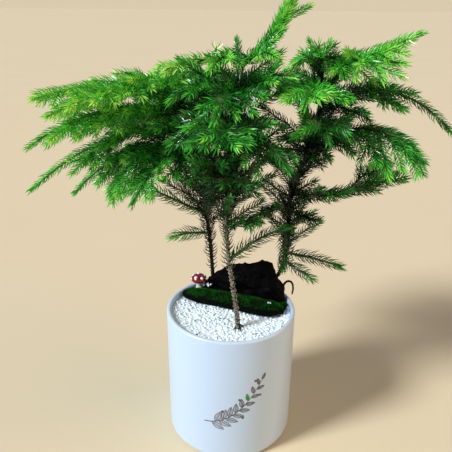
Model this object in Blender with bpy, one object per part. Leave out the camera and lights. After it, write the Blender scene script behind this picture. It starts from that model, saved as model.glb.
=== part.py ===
"""Potted Norfolk Island pine: three thin stems that grow as one clump in a white ceramic pot.

The stems carry whorls of arching boughs. Every bough with its needles is one solid: a slim
axis, side sprays in two rows and a spray at its end, each spray a blade with toothed edges.
White gravel, a bank of moss, a dark stone and a toadstool ornament dress the top of the pot.

Metres, +Z up. The origin is the middle of the pot's underside, and the viewer stands at -Y.
Tables are in millimetres and degrees, and MM turns them into metres.
"""

import math
import random

import bmesh
import bpy
from mathutils import Matrix, Vector
from mathutils.bvhtree import BVHTree

MM = 0.001
GAP = 0.3 * MM
UP = Vector((0.0, 0.0, 1.0))

# Pot: a slip-cast cylinder with a rounded lip and a rounded foot
POT_RADIUS = 65.0 * MM
POT_HEIGHT = 139.5 * MM
POT_WALL = 4.7 * MM
POT_FLOOR = 6.0 * MM
FOOT_ROUNDING = 5.7 * MM
POT_SIDES = 40

# Filling: potting mix, then gravel up to a few millimetres below the lip
MIX_TOP = 124.0 * MM
GRAVEL_TOP = 133.0 * MM
FILL_RADIUS = POT_RADIUS - POT_WALL - 0.4 * MM

# Moss bank: a flat mat over the back of the gravel, with a thick roll along its front edge
MOSS_RADIUS = 58.6 * MM
MOSS_ANGLE = -20.6
MOSS_FRONT = 5.2 * MM
MOSS_MAT = 4.0 * MM
ROLL_HALF_LENGTH = 52.0 * MM
ROLL_HALF_WIDTH = 8.0 * MM
ROLL_HEIGHT = 12.5 * MM
ROLL_BLUNTNESS = 0.45
MOSS_TOP = GRAVEL_TOP + GAP + MOSS_MAT

# Stone: a long rough boulder behind the roll. Its ridge line and its half depth are given
# along its length, from the low arm at the left to the blunt end at the right.
STONE_MIDDLE = (14.0, 27.7)
STONE_TURN = -16.0
STONE_HALF_LENGTH = 44.0
STONE_FOOT_LIMIT = 57.5
STONE_LIMIT = 62.0
STONE_LENGTHS = (-44.0, -31.0, -16.0, 0.0, 14.0, 27.0, 37.0, 44.0)
STONE_RIDGE = (10.0, 22.0, 33.0, 42.0, 46.0, 41.0, 24.0, 10.0)
STONE_DEPTH = (2.0, 3.2, 7.0, 8.8, 9.8, 10.5, 10.0, 8.0)

# Toadstool ornament
TOADSTOOL_PLACE = (-35.0, 40.2)
STALK_RADIUS = 3.3 * MM
STALK_HEIGHT = 9.0 * MM
CAP_RADIUS = 8.2 * MM
CAP_HEIGHT = 8.6 * MM

# Stems: height above the ground, x, y and radius of each joint of the stem's middle line
STEM_SIDES = 8
STEMS = {
    "front": (
        GRAVEL_TOP + GAP,
        (
            (0, 7.5, -30.0, 4.0),
            (4, 7.0, -29.8, 2.7),
            (28, 4.0, -28.0, 2.3),
            (68, -2.4, -25.0, 1.9),
            (105, -5.5, -23.0, 1.8),
            (130, -4.5, -21.0, 1.7),
            (187, 0.0, -16.0, 1.5),
            (250, 8.0, -12.0, 1.2),
        ),
    ),
    "left": (
        MOSS_TOP + GAP,
        (
            (0, -19.5, 45.5, 3.6),
            (4, -19.6, 45.0, 2.4),
            (35, -21.0, 38.0, 2.0),
            (70, -23.5, 32.0, 1.9),
            (90, -26.0, 30.0, 1.8),
            (163, -31.0, 24.0, 1.5),
            (246, -18.0, 20.0, 1.1),
        ),
    ),
    "right": (
        MOSS_TOP + GAP,
        (
            (0, 39.0, 40.0, 3.8),
            (4, 40.5, 40.0, 2.6),
            (18, 50.0, 38.5, 2.3),
            (36, 57.0, 37.0, 2.2),
            (73, 57.5, 36.0, 2.0),
            (103, 58.0, 34.0, 1.9),
            (131, 63.0, 32.0, 1.8),
            (163, 74.0, 30.0, 1.6),
            (212, 84.0, 30.0, 1.5),
            (220, 79.0, 30.0, 1.4),
            (250, 74.0, 28.0, 1.2),
        ),
    ),
}

# Whorls: stem and height above the gravel, then each bough as its letter, azimuth, reach,
# rise of its tip above its root, and arch above the straight line halfway along.
WHORLS = (
    ("front", 70, (("a", 0, 53, 34, 5),)),
    ("front", 103, (("a", -50, 48, 8, 10),)),
    ("front", 129, (("a", -77, 76, 32, 12), ("b", -118, 61, 36, 14), ("c", 97, 87, -7, 14))),
    (
        "front",
        167,
        (("a", -60, 89, 6, 22), ("b", -96, 103, 25, 20), ("c", -149, 63, 1, 20), ("d", 77, 95, -15, 18)),
    ),
    (
        "front",
        207,
        (("a", -102, 87, 2, 18), ("b", -148, 67, 4, 16), ("c", -33, 56, 20, 10), ("d", 86, 100, -18, 16)),
    ),
    ("front", 242, (("a", -55, 46, 9, 10), ("b", -120, 55, -5, 12))),
    ("left", 73, (("a", -157, 44, 1, 16),)),
    ("left", 95, (("a", -159, 68, 40, 0),)),
    ("left", 139, (("a", -132, 89, -14, 32), ("b", -157, 93, -22, 34), ("c", 176, 133, -31, 30))),
    ("left", 176, (("a", -174, 166, -56, 34), ("b", -158, 158, -6, 30), ("c", 140, 118, -30, 28))),
    ("left", 211, (("a", 179, 159, -4, 22), ("b", -145, 150, -9, 24), ("c", 117, 110, -22, 24))),
    ("left", 243, (("a", -149, 49, -7, 14),)),
    ("right", 40, (("a", 12, 36, -25, 6),)),
    ("right", 50, (("a", -8, 62, -13, 8),)),
    ("right", 83, (("a", -101, 34, -39, 10),)),
    ("right", 100, (("a", -31, 37, -2, 6), ("b", -161, 68, -10, 8))),
    ("right", 116, (("a", -5, 104, 18, 16), ("b", -55, 71, 17, 14))),
    ("right", 153, (("a", -43, 112, 9, 36), ("b", -89, 106, 32, 24), ("c", 64, 94, -14, 24))),
    (
        "right",
        197,
        (("a", -7, 124, -29, 27), ("b", -107, 105, 14, 20), ("c", 90, 95, -12, 22), ("d", -69, 91, 23, 26)),
    ),
    ("right", 242, (("a", -12, 88, 26, 2), ("b", -43, 87, 6, 12), ("c", 112, 55, -18, 10))),
)

# Leaders: the needled shoot that ends each stem, as azimuth, reach and rise
LEADERS = {"front": (3, 37, 46), "left": (0, 3, 13), "right": (-60, 3, 16)}

# Bough rule
ROOT_GAP = 0.5 * MM
WHORL_STEP = 4.5
AXIS_RADIUS = (1.4, 1.0)
AXIS_JOINTS = 4
END_SPRAY = 21.0
END_SHARE = 0.45
END_SUNK = 2.5 * MM
SIDE_PITCH = 29.0
SIDE_START = 13.0
SIDE_ANGLE = 54.0
SIDE_SHARE = 0.46
SIDE_LENGTH = (17.0, 52.0)
SIDE_DROOP = 12.0
SPRAY_SAG = 0.10
SPRAY_THICK = 0.5 * MM
NEEDLE_REACH = 9.0
SHORT_SPRAY = 19.0
NEEDLE_SHARE = 0.34
SIZE_SPREAD = (0.85, 1.1)
SWELL_START = 0.25
SWELL_POWER = 0.8
SIDE_WANDER = 7.0
SPRAY_ROLL = 30.0

# Room that a mass keeps to its neighbours, and what is tried where a first choice has no room:
# lifts of the arch, shifts of the root, shorter sprays, and turns up or down
CLEARANCE = 0.6
AXIS_LIFTS = (0, 3, -3, 6, -6, 9, -9, 12, -12)
ROOT_EASES = (0.0, 0.3, 0.6)
SPRAY_SHRINKS = (1.0, 0.75, 0.55)
SPRAY_TURNS = (0, 12, -14, 24, -26)
END_ROLLS = (0, 60, -60, 30, -30, 90)
SEED = 5905


def clear_scene():
    for obj in list(bpy.data.objects):
        bpy.data.objects.remove(obj, do_unlink=True)


def material(name, colour, roughness, metallic=0.0):
    made = bpy.data.materials.new(name)
    made.use_nodes = True
    shader = made.node_tree.nodes["Principled BSDF"]
    shader.inputs["Base Color"].default_value = (*colour, 1.0)
    shader.inputs["Roughness"].default_value = roughness
    shader.inputs["Metallic"].default_value = metallic
    return made


def add_object(name, bm, finish, smooth=True):
    mesh = bpy.data.meshes.new(name)
    bm.to_mesh(mesh)
    bm.free()
    if smooth:
        mesh.shade_smooth()
        mesh.set_sharp_from_angle(angle=math.radians(35))
    mesh.materials.append(finish)
    obj = bpy.data.objects.new(name, mesh)
    bpy.context.scene.collection.objects.link(obj)
    return obj


def spun(profile, sides):
    """Turns an outline of (radius, height) points round the Z axis into a closed solid."""
    bm = bmesh.new()
    verts = [bm.verts.new((radius, 0.0, height)) for radius, height in profile]
    edges = [bm.edges.new(pair) for pair in zip(verts, verts[1:])]
    bmesh.ops.spin(
        bm, geom=verts + edges, cent=(0, 0, 0), axis=(0, 0, 1), angle=math.tau, steps=sides, use_merge=True
    )
    bmesh.ops.remove_doubles(bm, verts=bm.verts[:], dist=1e-6)
    bmesh.ops.recalc_face_normals(bm, faces=bm.faces[:])
    return bm


def arc(centre_r, centre_z, radius, start, end, steps):
    """Points of a round corner in the (radius, height) plane, from start to end in degrees."""
    return [
        (
            centre_r + radius * math.cos(math.radians(start + (end - start) * i / steps)),
            centre_z + radius * math.sin(math.radians(start + (end - start) * i / steps)),
        )
        for i in range(steps + 1)
    ]


def make_pot(finish):
    lip = POT_WALL / 2
    profile = [(0.0, 0.0)]
    profile += arc(POT_RADIUS - FOOT_ROUNDING, FOOT_ROUNDING, FOOT_ROUNDING, -90, 0, 4)
    profile += arc(POT_RADIUS - lip, POT_HEIGHT - lip, lip, 0, 180, 4)
    profile += [(POT_RADIUS - POT_WALL, POT_FLOOR), (0.0, POT_FLOOR)]
    return add_object("pot", spun(profile, POT_SIDES), finish)


def make_filling(mix, stones):
    for name, low, high, finish in (
        ("potting_mix", POT_FLOOR + GAP, MIX_TOP, mix),
        ("gravel", MIX_TOP + GAP, GRAVEL_TOP, stones),
    ):
        profile = [(0.0, low), (FILL_RADIUS, low), (FILL_RADIUS, high), (0.0, high)]
        add_object(name, spun(profile, POT_SIDES), finish)


def make_moss(finish):
    """The mat is a disc cut along the bank's front line, and the roll is a flattened log on it."""
    turn = Matrix.Rotation(math.radians(MOSS_ANGLE), 4, "Z")
    low = GRAVEL_TOP + GAP
    mat = spun([(0.0, low), (MOSS_RADIUS, low), (MOSS_RADIUS - 1 * MM, MOSS_TOP), (0.0, MOSS_TOP)], 32)
    cut_line = MOSS_FRONT + ROLL_HALF_WIDTH
    cut = bmesh.ops.bisect_plane(
        mat,
        geom=mat.verts[:] + mat.edges[:] + mat.faces[:],
        plane_co=(0, cut_line, 0),
        plane_no=(0, -1, 0),
        clear_outer=True,
    )
    rim = [item for item in cut["geom_cut"] if isinstance(item, bmesh.types.BMEdge)]
    bmesh.ops.holes_fill(mat, edges=rim, sides=0)
    bmesh.ops.transform(mat, matrix=turn, verts=mat.verts[:])
    bank = add_object("moss_bank", mat, finish)

    roll = bmesh.new()
    bmesh.ops.create_uvsphere(roll, u_segments=14, v_segments=10, radius=1.0)
    onto_side = Matrix.Rotation(math.radians(90), 3, "Y")
    bmesh.ops.rotate(roll, cent=(0, 0, 0), matrix=onto_side, verts=roll.verts[:])
    for vert in roll.verts:
        blunt = math.copysign(abs(vert.co.x) ** ROLL_BLUNTNESS, vert.co.x)
        vert.co.x = blunt * ROLL_HALF_LENGTH
        vert.co.y *= ROLL_HALF_WIDTH
        vert.co.z *= ROLL_HEIGHT / 2
    lift = Vector((0, cut_line, low + ROLL_HEIGHT / 2))
    bmesh.ops.translate(roll, vec=lift, verts=roll.verts[:])
    bmesh.ops.transform(roll, matrix=turn, verts=roll.verts[:])
    log = add_object("moss_roll", roll, finish)
    union(bank, [log])
    return bank


def along_list(at, places, values):
    """Reads a value between two listed places."""
    for i in range(len(places) - 2):
        if at <= places[i + 1]:
            break
    share = min(1.0, max(0.0, (at - places[i]) / (places[i + 1] - places[i])))
    return values[i] + (values[i + 1] - values[i]) * share


def make_stone(finish, rng):
    """A rough ball drawn out along the moss roll, flat below, and slimmer inside the lip."""
    bm = bmesh.new()
    bmesh.ops.create_icosphere(bm, subdivisions=3, radius=1.0)
    bumps = [Vector([rng.uniform(-1, 1) for _ in range(3)]).normalized() for _ in range(16)]
    depth = [rng.uniform(-0.10, 0.16) for _ in bumps]
    turn = Matrix.Rotation(math.radians(STONE_TURN), 3, "Z")
    foot = MOSS_TOP + GAP
    for vert in bm.verts:
        shape = vert.co * (1.0 + sum(d * max(0.0, vert.co.dot(b)) ** 8 for b, d in zip(bumps, depth)))
        run = max(-1.0, min(1.0, shape.x)) * STONE_HALF_LENGTH
        slimness = math.sqrt(max(0.15, 1.0 - min(1.0, abs(shape.x)) ** 2))
        side = max(-1.0, min(1.0, shape.y / slimness))
        lift = (shape.z / slimness + 0.35) / 1.35
        height = max(0.0, lift) * along_list(run, STONE_LENGTHS, STONE_RIDGE)
        place = turn @ Vector((run, side * along_list(run, STONE_LENGTHS, STONE_DEPTH), 0.0))
        place += Vector((*STONE_MIDDLE, height))
        limit = STONE_FOOT_LIMIT + (STONE_LIMIT - STONE_FOOT_LIMIT) * min(1.0, height / 9.0)
        out = math.hypot(place.x, place.y)
        if out > limit:
            place.x *= limit / out
            place.y *= limit / out
        vert.co = Vector((place.x * MM, place.y * MM, foot + place.z * MM))
    bmesh.ops.bisect_plane(
        bm,
        geom=bm.verts[:] + bm.edges[:] + bm.faces[:],
        plane_co=(0, 0, foot + 0.02 * MM),
        plane_no=(0, 0, -1),
        clear_outer=True,
    )
    bmesh.ops.holes_fill(bm, edges=[edge for edge in bm.edges if edge.is_boundary], sides=0)
    bmesh.ops.recalc_face_normals(bm, faces=bm.faces[:])
    stone = add_object("stone", bm, finish)
    fewer = stone.modifiers.new("fewer", "DECIMATE")
    fewer.ratio = 0.4
    return stone


def make_toadstool(red, pale):
    foot = MOSS_TOP + GAP
    top = foot + STALK_HEIGHT
    stalk = spun(
        [(0, foot), (STALK_RADIUS * 1.15, foot), (STALK_RADIUS * 0.85, top), (0, top)],
        12,
    )
    under = top + GAP
    cap = [(0.0, under), (CAP_RADIUS * 0.8, under), (CAP_RADIUS, under + 1.6 * MM)]
    cap += [
        (CAP_RADIUS * math.cos(a), under + 1.6 * MM + (CAP_HEIGHT - 1.6 * MM) * math.sin(a))
        for a in (math.radians(d) for d in (25, 50, 72))
    ]
    cap.append((0.0, under + CAP_HEIGHT))
    for name, bm, finish in (("toadstool_stalk", stalk, pale), ("toadstool_cap", spun(cap, 16), red)):
        bmesh.ops.translate(bm, vec=(TOADSTOOL_PLACE[0] * MM, TOADSTOOL_PLACE[1] * MM, 0), verts=bm.verts[:])
        add_object(name, bm, finish)


def stem_point(stem, height):
    """Middle point and radius of a stem, at a height in millimetres above its own foot."""
    foot, joints = STEMS[stem]
    for low, high in zip(joints, joints[1:]):
        if height <= high[0]:
            break
    share = min(1.0, (height - low[0]) / (high[0] - low[0]))
    x, y, radius = (low[i] + (high[i] - low[i]) * share for i in (1, 2, 3))
    return Vector((x * MM, y * MM, foot + height * MM)), radius * MM


def tube(centres, radii, sides, facing=None):
    """Verts and triangles of a closed tapering tube. The first ring may be told which way it faces."""
    verts = []
    for i, centre in enumerate(centres):
        ahead = (centres[min(i + 1, len(centres) - 1)] - centres[max(i - 1, 0)]).normalized()
        if facing and (i == 0 or facing == UP):
            ahead = facing
        side = ahead.cross(UP if abs(ahead.z) < 0.9 else Vector((0, 1, 0))).normalized()
        up = side.cross(ahead).normalized()
        for k in range(sides):
            angle = math.tau * (k + 0.25) / sides
            verts.append(centre + (side * math.cos(angle) + up * math.sin(angle)) * radii[i])
    faces = []
    for i in range(len(centres) - 1):
        for k in range(sides):
            a, b = i * sides + k, i * sides + (k + 1) % sides
            faces += [(a, b, b + sides), (a, b + sides, a + sides)]
    last = len(verts) - sides
    faces += [(0, k + 1, k) for k in range(1, sides - 1)]
    faces += [(last, last + k, last + k + 1) for k in range(1, sides - 1)]
    return verts, faces


def to_bmesh(verts, faces):
    bm = bmesh.new()
    made = [bm.verts.new(v) for v in verts]
    for face in faces:
        bm.faces.new([made[i] for i in face])
    bmesh.ops.recalc_face_normals(bm, faces=bm.faces[:])
    return bm


def make_stem(stem, finish):
    foot, joints = STEMS[stem]
    centres = [Vector((x * MM, y * MM, foot + h * MM)) for h, x, y, _ in joints]
    verts, faces = tube(centres, [joint[3] * MM for joint in joints], STEM_SIDES, facing=UP)
    for k in range(STEM_SIDES):
        flare = 1.0 + 0.22 * math.cos(math.tau * 3 * k / STEM_SIDES)
        verts[k] = centres[0] + (verts[k] - centres[0]) * flare
    add_object("stem_" + stem, to_bmesh(verts, faces), finish)
    return verts, faces


def blade(root, along, across, length, needle, teeth, thick, sag):
    """Verts and triangles of a toothed blade: a thin ridge with needle-like teeth swept forward."""
    normal = along.cross(across).normalized()
    pitch = length / (teeth + 0.75)

    def place(u, v, w):
        return root + along * u + across * v + normal * w - UP * sag * length * (u / length) ** 2

    verts = []
    rows = []
    for k in range(teeth + 1):
        u = k * pitch
        half = thick * (1.0 - 0.45 * k / teeth) if k else thick * 0.55
        rows.append(len(verts))
        verts += [place(u, 0, half), place(u, 0, -half), place(u, -half * 1.4, 0), place(u, half * 1.4, 0)]
        if k < teeth:
            reach = needle * (1.0 - 0.30 * k / teeth)
            tip = u + pitch * 1.35
            verts += [place(tip, -reach, 0), place(tip, reach, 0)]
    end = len(verts)
    verts.append(place(length, 0, 0))
    faces = [(rows[0], rows[0] + 2, rows[0] + 1), (rows[0], rows[0] + 1, rows[0] + 3)]
    for here, ahead in zip(rows, rows[1:]):
        top, under, left, right, left_tip, right_tip = range(here, here + 6)
        for ridge, ridge_ahead, flip in ((top, ahead, False), (under, ahead + 1, True)):
            for notch, tip, notch_ahead, swap in (
                (left, left_tip, ahead + 2, flip),
                (right, right_tip, ahead + 3, not flip),
            ):
                tooth = ((ridge, notch, tip), (ridge, tip, notch_ahead), (ridge, notch_ahead, ridge_ahead))
                faces += [tri[::-1] if swap else tri for tri in tooth]
    top, under, left, right = range(rows[-1], rows[-1] + 4)
    faces += [(top, left, end), (right, top, end), (left, under, end), (under, right, end)]
    return verts, faces


class Bough:
    """One mass of needles: its curved axis, and the pieces that are fused on it."""

    def __init__(self, name, root, gap, azimuth, reach, rise, arch):
        self.name = name
        turn = math.radians(azimuth)
        self.out = Vector((math.cos(turn), math.sin(turn), 0.0))
        self.root = root
        self.gap = gap
        self.reach = reach * MM
        self.rise = rise * MM
        self.arch = arch * MM
        self.pieces = []
        self.tree = None
        self.sprays = None

    def point(self, share):
        height = self.rise * share + 4.0 * self.arch * share * (1.0 - share)
        return self.root + self.out * (self.reach * share) + Vector((0, 0, height))

    def tangent(self, share):
        slope = self.rise + 4.0 * self.arch * (1.0 - 2.0 * share)
        return (self.out * self.reach + Vector((0, 0, slope))).normalized()

    def length(self):
        steps = [self.point(i / 12) for i in range(13)]
        return sum((b - a).length for a, b in zip(steps, steps[1:]))

    def axis_point(self, share):
        """Place on the jointed axis, which runs straight between its joints."""
        at = (share - self.shares[0]) / (self.shares[-1] - self.shares[0]) * (len(self.shares) - 1)
        joint = max(0, min(len(self.joints) - 2, int(at)))
        return self.joints[joint].lerp(self.joints[joint + 1], at - joint)

    def add(self, piece):
        self.pieces.append(piece)
        self.tree = solid_tree(self.pieces)
        self.sprays = solid_tree(self.pieces[1:])


def solid_tree(pieces):
    """A search tree over the faces of some pieces, or None where there are none yet."""
    verts = []
    faces = []
    for piece_verts, piece_faces in pieces:
        faces += [tuple(i + len(verts) for i in face) for face in piece_faces]
        verts += piece_verts
    return BVHTree.FromPolygons(verts, faces) if verts else None


def is_clear(piece, own, boughs, stems):
    """True where a piece meets no other mass and no stem, and no spray of its own mass."""
    tree = solid_tree([piece])
    others = [bough.tree for bough in boughs if bough is not own and bough.tree] + stems
    if own.sprays:
        others.append(own.sprays)
    return not any(tree.overlap(other) for other in others)


def grow_axis(bough, boughs, stems):
    """Lays the bough's bare axis, and eases its root or its arch where it would meet another bough."""
    facing = bough.out if bough.reach > bough.rise or bough.arch else UP.copy()
    bough.end_share = 1.0 - min(END_SHARE, END_SPRAY * MM / bough.length())
    thick, thin = AXIS_RADIUS
    arch = bough.arch
    for lift, ease in [(lift, ease) for lift in AXIS_LIFTS for ease in ROOT_EASES]:
        bough.arch = arch + lift * MM
        start = (bough.gap + ease * MM) / max(bough.reach, bough.rise)
        shares = [start + (bough.end_share - start) * i / (AXIS_JOINTS - 1) for i in range(AXIS_JOINTS)]
        radii = [(thick + (thin - thick) * share) * MM for share in shares]
        centres = [bough.point(share) for share in shares]
        axis = tube(centres, radii, 3, facing)
        spare = tube(centres[1:], [radius + CLEARANCE * MM for radius in radii[1:]], 3)
        if is_clear(axis, bough, boughs, stems) and is_clear(spare, bough, boughs, stems):
            break
    else:
        print("no room for the axis of", bough.name)
    bough.shares = shares
    bough.joints = centres
    bough.add(axis)


def add_blade(bough, sizes, boughs, stems):
    """Adds a blade if it and a slightly larger copy of it stay clear of everything else."""
    root, along, across, size, needle, teeth, thick, sag = sizes
    clear = CLEARANCE * MM
    spare = blade(root, along, across, size + 2 * clear, needle + clear, teeth, thick + clear, sag)
    exact = blade(*sizes)
    if is_clear(spare, bough, boughs, stems) and is_clear(exact, bough, boughs, stems):
        bough.add(exact)
        return True
    return False


def try_spray(bough, share, side, length, boughs, stems, rng):
    """Fuses a side spray on, turned or shortened where the first choice would meet another mass."""
    along_axis = bough.tangent(share)
    level = along_axis.cross(UP).normalized() * side
    swing = math.radians(SIDE_ANGLE + rng.uniform(-SIDE_WANDER, SIDE_WANDER))
    roll = math.radians(rng.uniform(-SPRAY_ROLL, SPRAY_ROLL))
    droop = SIDE_DROOP + rng.uniform(-SIDE_WANDER, SIDE_WANDER)
    for shrink in SPRAY_SHRINKS:
        for extra in SPRAY_TURNS:
            tilt = math.radians(droop + extra)
            along = along_axis * math.cos(swing) + level * math.sin(swing)
            along = (along - UP * math.sin(tilt)).normalized()
            across = Matrix.Rotation(roll, 3, along) @ along.cross(UP).normalized()
            size = length * shrink
            teeth = 1 if size < SHORT_SPRAY * MM else 2
            needle = min(NEEDLE_REACH * MM, size * NEEDLE_SHARE)
            root = bough.axis_point(share)
            sizes = (root, along, across, size, needle, teeth, SPRAY_THICK, SPRAY_SAG)
            if add_blade(bough, sizes, boughs, stems):
                return True
    return False


def grow_sprays(boughs, stems, rng):
    """Adds the end sprays first, then side sprays in turn, so that every mass gets its share."""
    for bough in boughs:
        last_run = (bough.joints[-1] - bough.joints[-2]).normalized()
        root = bough.joints[-1] - last_run * END_SUNK
        along = bough.point(1.0) - root
        length = along.length
        along.normalize()
        level = along.cross(UP).normalized()
        for turn in END_ROLLS:
            across = Matrix.Rotation(math.radians(turn), 3, along) @ level
            sizes = (root, along, across, length, NEEDLE_REACH * MM, 2, SPRAY_THICK, 0.0)
            if add_blade(bough, sizes, boughs, stems):
                break
        else:
            print("no room for the end spray of", bough.name)
    plans = []
    for bough in boughs:
        run = bough.length()
        places = []
        at = SIDE_START * MM
        while at < run * bough.end_share:
            places.append(at / run)
            at += SIDE_PITCH * MM / 2
        shortest, longest = (limit * MM for limit in SIDE_LENGTH)
        for i, share in enumerate(places):
            swell = math.sin(math.pi * (SWELL_START + (1.0 - SWELL_START) * share)) ** SWELL_POWER
            size = min(longest, max(shortest, SIDE_SHARE * run * swell))
            plans.append((i, bough, share, 1 if i % 2 else -1, size * rng.uniform(*SIZE_SPREAD)))
    plans.sort(key=lambda plan: plan[0])
    for _, bough, share, side, size in plans:
        try_spray(bough, share, side, size, boughs, stems, rng)


def reach_of(meshes):
    """Lowest and highest corner of some meshes that lie in world space."""
    places = [vert.co for mesh in meshes for vert in mesh.vertices]
    return [pick(place[i] for place in places) for pick in (min, max) for i in range(3)]


def union(target, others):
    """Joins the others onto the target for good, and keeps the one body that this leaves."""
    scene = bpy.context.scene.collection
    group = bpy.data.collections.new("parts_of_" + target.name)
    scene.children.link(group)
    for obj in others:
        scene.objects.unlink(obj)
        group.objects.link(obj)
    whole = reach_of([obj.data for obj in [target] + others])
    join = target.modifiers.new("join", "BOOLEAN")
    join.operation = "UNION"
    join.operand_type = "COLLECTION"
    join.collection = group
    for solver in ("EXACT", "MANIFOLD"):
        join.solver = solver
        bpy.context.view_layer.update()
        joined = bpy.data.meshes.new_from_object(target.evaluated_get(bpy.context.evaluated_depsgraph_get()))
        keep_largest_shell(joined)
        if max(abs(a - b) for a, b in zip(whole, reach_of([joined]))) < GAP:
            break
        print("the", solver, "union loses part of", target.name)
    target.modifiers.clear()
    target.data = joined
    for obj in others:
        bpy.data.objects.remove(obj, do_unlink=True)
    bpy.data.collections.remove(group)


def keep_largest_shell(mesh):
    """Drops loose scraps and the walls of sealed hollows, which fills them."""
    bm = bmesh.new()
    bm.from_mesh(mesh)
    bmesh.ops.triangulate(bm, faces=bm.faces[:])
    bmesh.ops.dissolve_degenerate(bm, edges=bm.edges[:], dist=2e-6)
    bm.faces.ensure_lookup_table()
    seen = set()
    shells = []
    for face in bm.faces:
        if face in seen:
            continue
        shell = [face]
        seen.add(face)
        for item in shell:
            for edge in item.edges:
                for other in edge.link_faces:
                    if other not in seen:
                        seen.add(other)
                        shell.append(other)
        volume = sum(f.verts[0].co.dot(f.verts[1].co.cross(f.verts[2].co)) for f in shell)
        shells.append((volume, shell))
    shells.sort(key=lambda entry: -entry[0])
    for _, shell in shells[1:]:
        bmesh.ops.delete(bm, geom=shell, context="FACES")
    bmesh.ops.delete(bm, geom=[vert for vert in bm.verts if not vert.link_faces], context="VERTS")
    bm.to_mesh(mesh)
    bm.free()


def make_boughs(stems, finish):
    rng = random.Random(SEED)
    boughs = []
    counts = {}
    for stem, height, members in WHORLS:
        counts[stem] = counts.get(stem, 0) + 1
        offset = (GRAVEL_TOP - STEMS[stem][0]) / MM
        for step, (letter, azimuth, reach, rise, arch) in enumerate(members):
            root, radius = stem_point(stem, height + offset + step * WHORL_STEP)
            name = f"needles_{stem}_{counts[stem]}{letter}"
            boughs.append(Bough(name, root, radius + ROOT_GAP, azimuth, reach, rise, arch))
    for stem, (azimuth, reach, rise) in LEADERS.items():
        root, _ = stem_point(stem, STEMS[stem][1][-1][0])
        boughs.append(Bough(f"needles_{stem}_leader", root, ROOT_GAP, azimuth, reach, rise, 0.0))
    for bough in boughs:
        grow_axis(bough, boughs, stems)
    grow_sprays(boughs, stems, rng)
    for bough in boughs:
        first, *rest = [
            add_object(f"{bough.name}{'' if i == 0 else f'_part{i}'}", to_bmesh(*piece), finish, smooth=False)
            for i, piece in enumerate(bough.pieces)
        ]
        union(first, rest)


def main():
    clear_scene()
    rng = random.Random(SEED)
    glaze = material("white glazed ceramic", (0.86, 0.90, 0.91), 0.25)
    mix = material("potting mix", (0.05, 0.03, 0.02), 0.95)
    gravel = material("white gravel", (0.88, 0.93, 0.93), 0.8)
    moss = material("moss", (0.01, 0.08, 0.012), 1.0)
    rock = material("dark stone", (0.008, 0.008, 0.009), 0.7)
    red = material("red enamel", (0.26, 0.006, 0.008), 0.3)
    pale = material("pale resin", (0.62, 0.75, 0.66), 0.5)
    bark = material("bark", (0.16, 0.13, 0.09), 0.9)
    dark_bark = material("dark bark", (0.04, 0.025, 0.012), 0.9)
    needles = material("needles", (0.03, 0.22, 0.03), 0.55)
    make_pot(glaze)
    make_filling(mix, gravel)
    make_moss(moss)
    make_stone(rock, rng)
    make_toadstool(red, pale)
    stems = []
    for stem in STEMS:
        stems.append(BVHTree.FromPolygons(*make_stem(stem, bark if stem == "front" else dark_bark)))
    make_boughs(stems, needles)


main()
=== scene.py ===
import math
import random

import bmesh
import bpy
import numpy as np
from mathutils import Matrix, Vector, noise


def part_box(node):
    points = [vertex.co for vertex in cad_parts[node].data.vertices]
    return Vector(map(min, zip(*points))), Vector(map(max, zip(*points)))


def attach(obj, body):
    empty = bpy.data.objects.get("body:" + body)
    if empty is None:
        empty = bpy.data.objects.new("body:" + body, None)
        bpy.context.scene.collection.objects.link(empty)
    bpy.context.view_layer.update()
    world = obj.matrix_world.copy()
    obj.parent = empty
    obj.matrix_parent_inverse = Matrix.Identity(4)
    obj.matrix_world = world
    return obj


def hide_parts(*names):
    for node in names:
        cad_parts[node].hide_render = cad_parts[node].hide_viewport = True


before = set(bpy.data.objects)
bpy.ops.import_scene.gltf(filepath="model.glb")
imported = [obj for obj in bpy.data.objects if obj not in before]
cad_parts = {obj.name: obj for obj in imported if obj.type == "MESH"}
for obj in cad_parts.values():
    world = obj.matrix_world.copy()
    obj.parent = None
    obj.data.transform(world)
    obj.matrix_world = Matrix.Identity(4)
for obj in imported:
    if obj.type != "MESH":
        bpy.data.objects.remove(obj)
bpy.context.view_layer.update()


# The view
# The photo was taken from in front of the pot and above it, looking down over the rim. The
# camera's place, tilt and lens were fitted to the outline of the pot, in a 452 pixel picture.
MM = 0.001
CAMERA_BACK = 464.3 * MM
CAMERA_HEIGHT = 418.9 * MM
CAMERA_DOWN = math.radians(22.41)
CAMERA_TURN = math.radians(0.72)
CAMERA_ROLL = math.radians(0.56)
LENS_PIXELS = 525.7
PICTURE_SIDE = 452.0

camera_data = bpy.data.cameras.new("camera")
camera_data.lens = camera_data.sensor_width * LENS_PIXELS / PICTURE_SIDE
camera = bpy.data.objects.new("camera", camera_data)
bpy.context.scene.collection.objects.link(camera)
camera.matrix_world = (
    Matrix.Translation((0.0, -CAMERA_BACK, CAMERA_HEIGHT))
    @ Matrix.Rotation(CAMERA_TURN, 4, "Z")
    @ Matrix.Rotation(math.pi / 2 - CAMERA_DOWN, 4, "X")
    @ Matrix.Rotation(CAMERA_ROLL, 4, "Z")
)
bpy.context.scene.camera = camera


# Floor and light
# A plain pale studio floor under soft light. The main light stands high at the left in front,
# as the room's does, a weaker one fills the shade at the right, and the surround is pale.
FLOOR_HALF = 300.0
SURROUND_STRENGTH = 0.34
BACKING_COLOUR = "#dacbae"
CLOUD_SIZE = 0.4
KEY_FROM = Vector((-0.75, -0.38, 0.62))
FILL_FROM = Vector((0.95, -0.25, 0.4))


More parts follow.
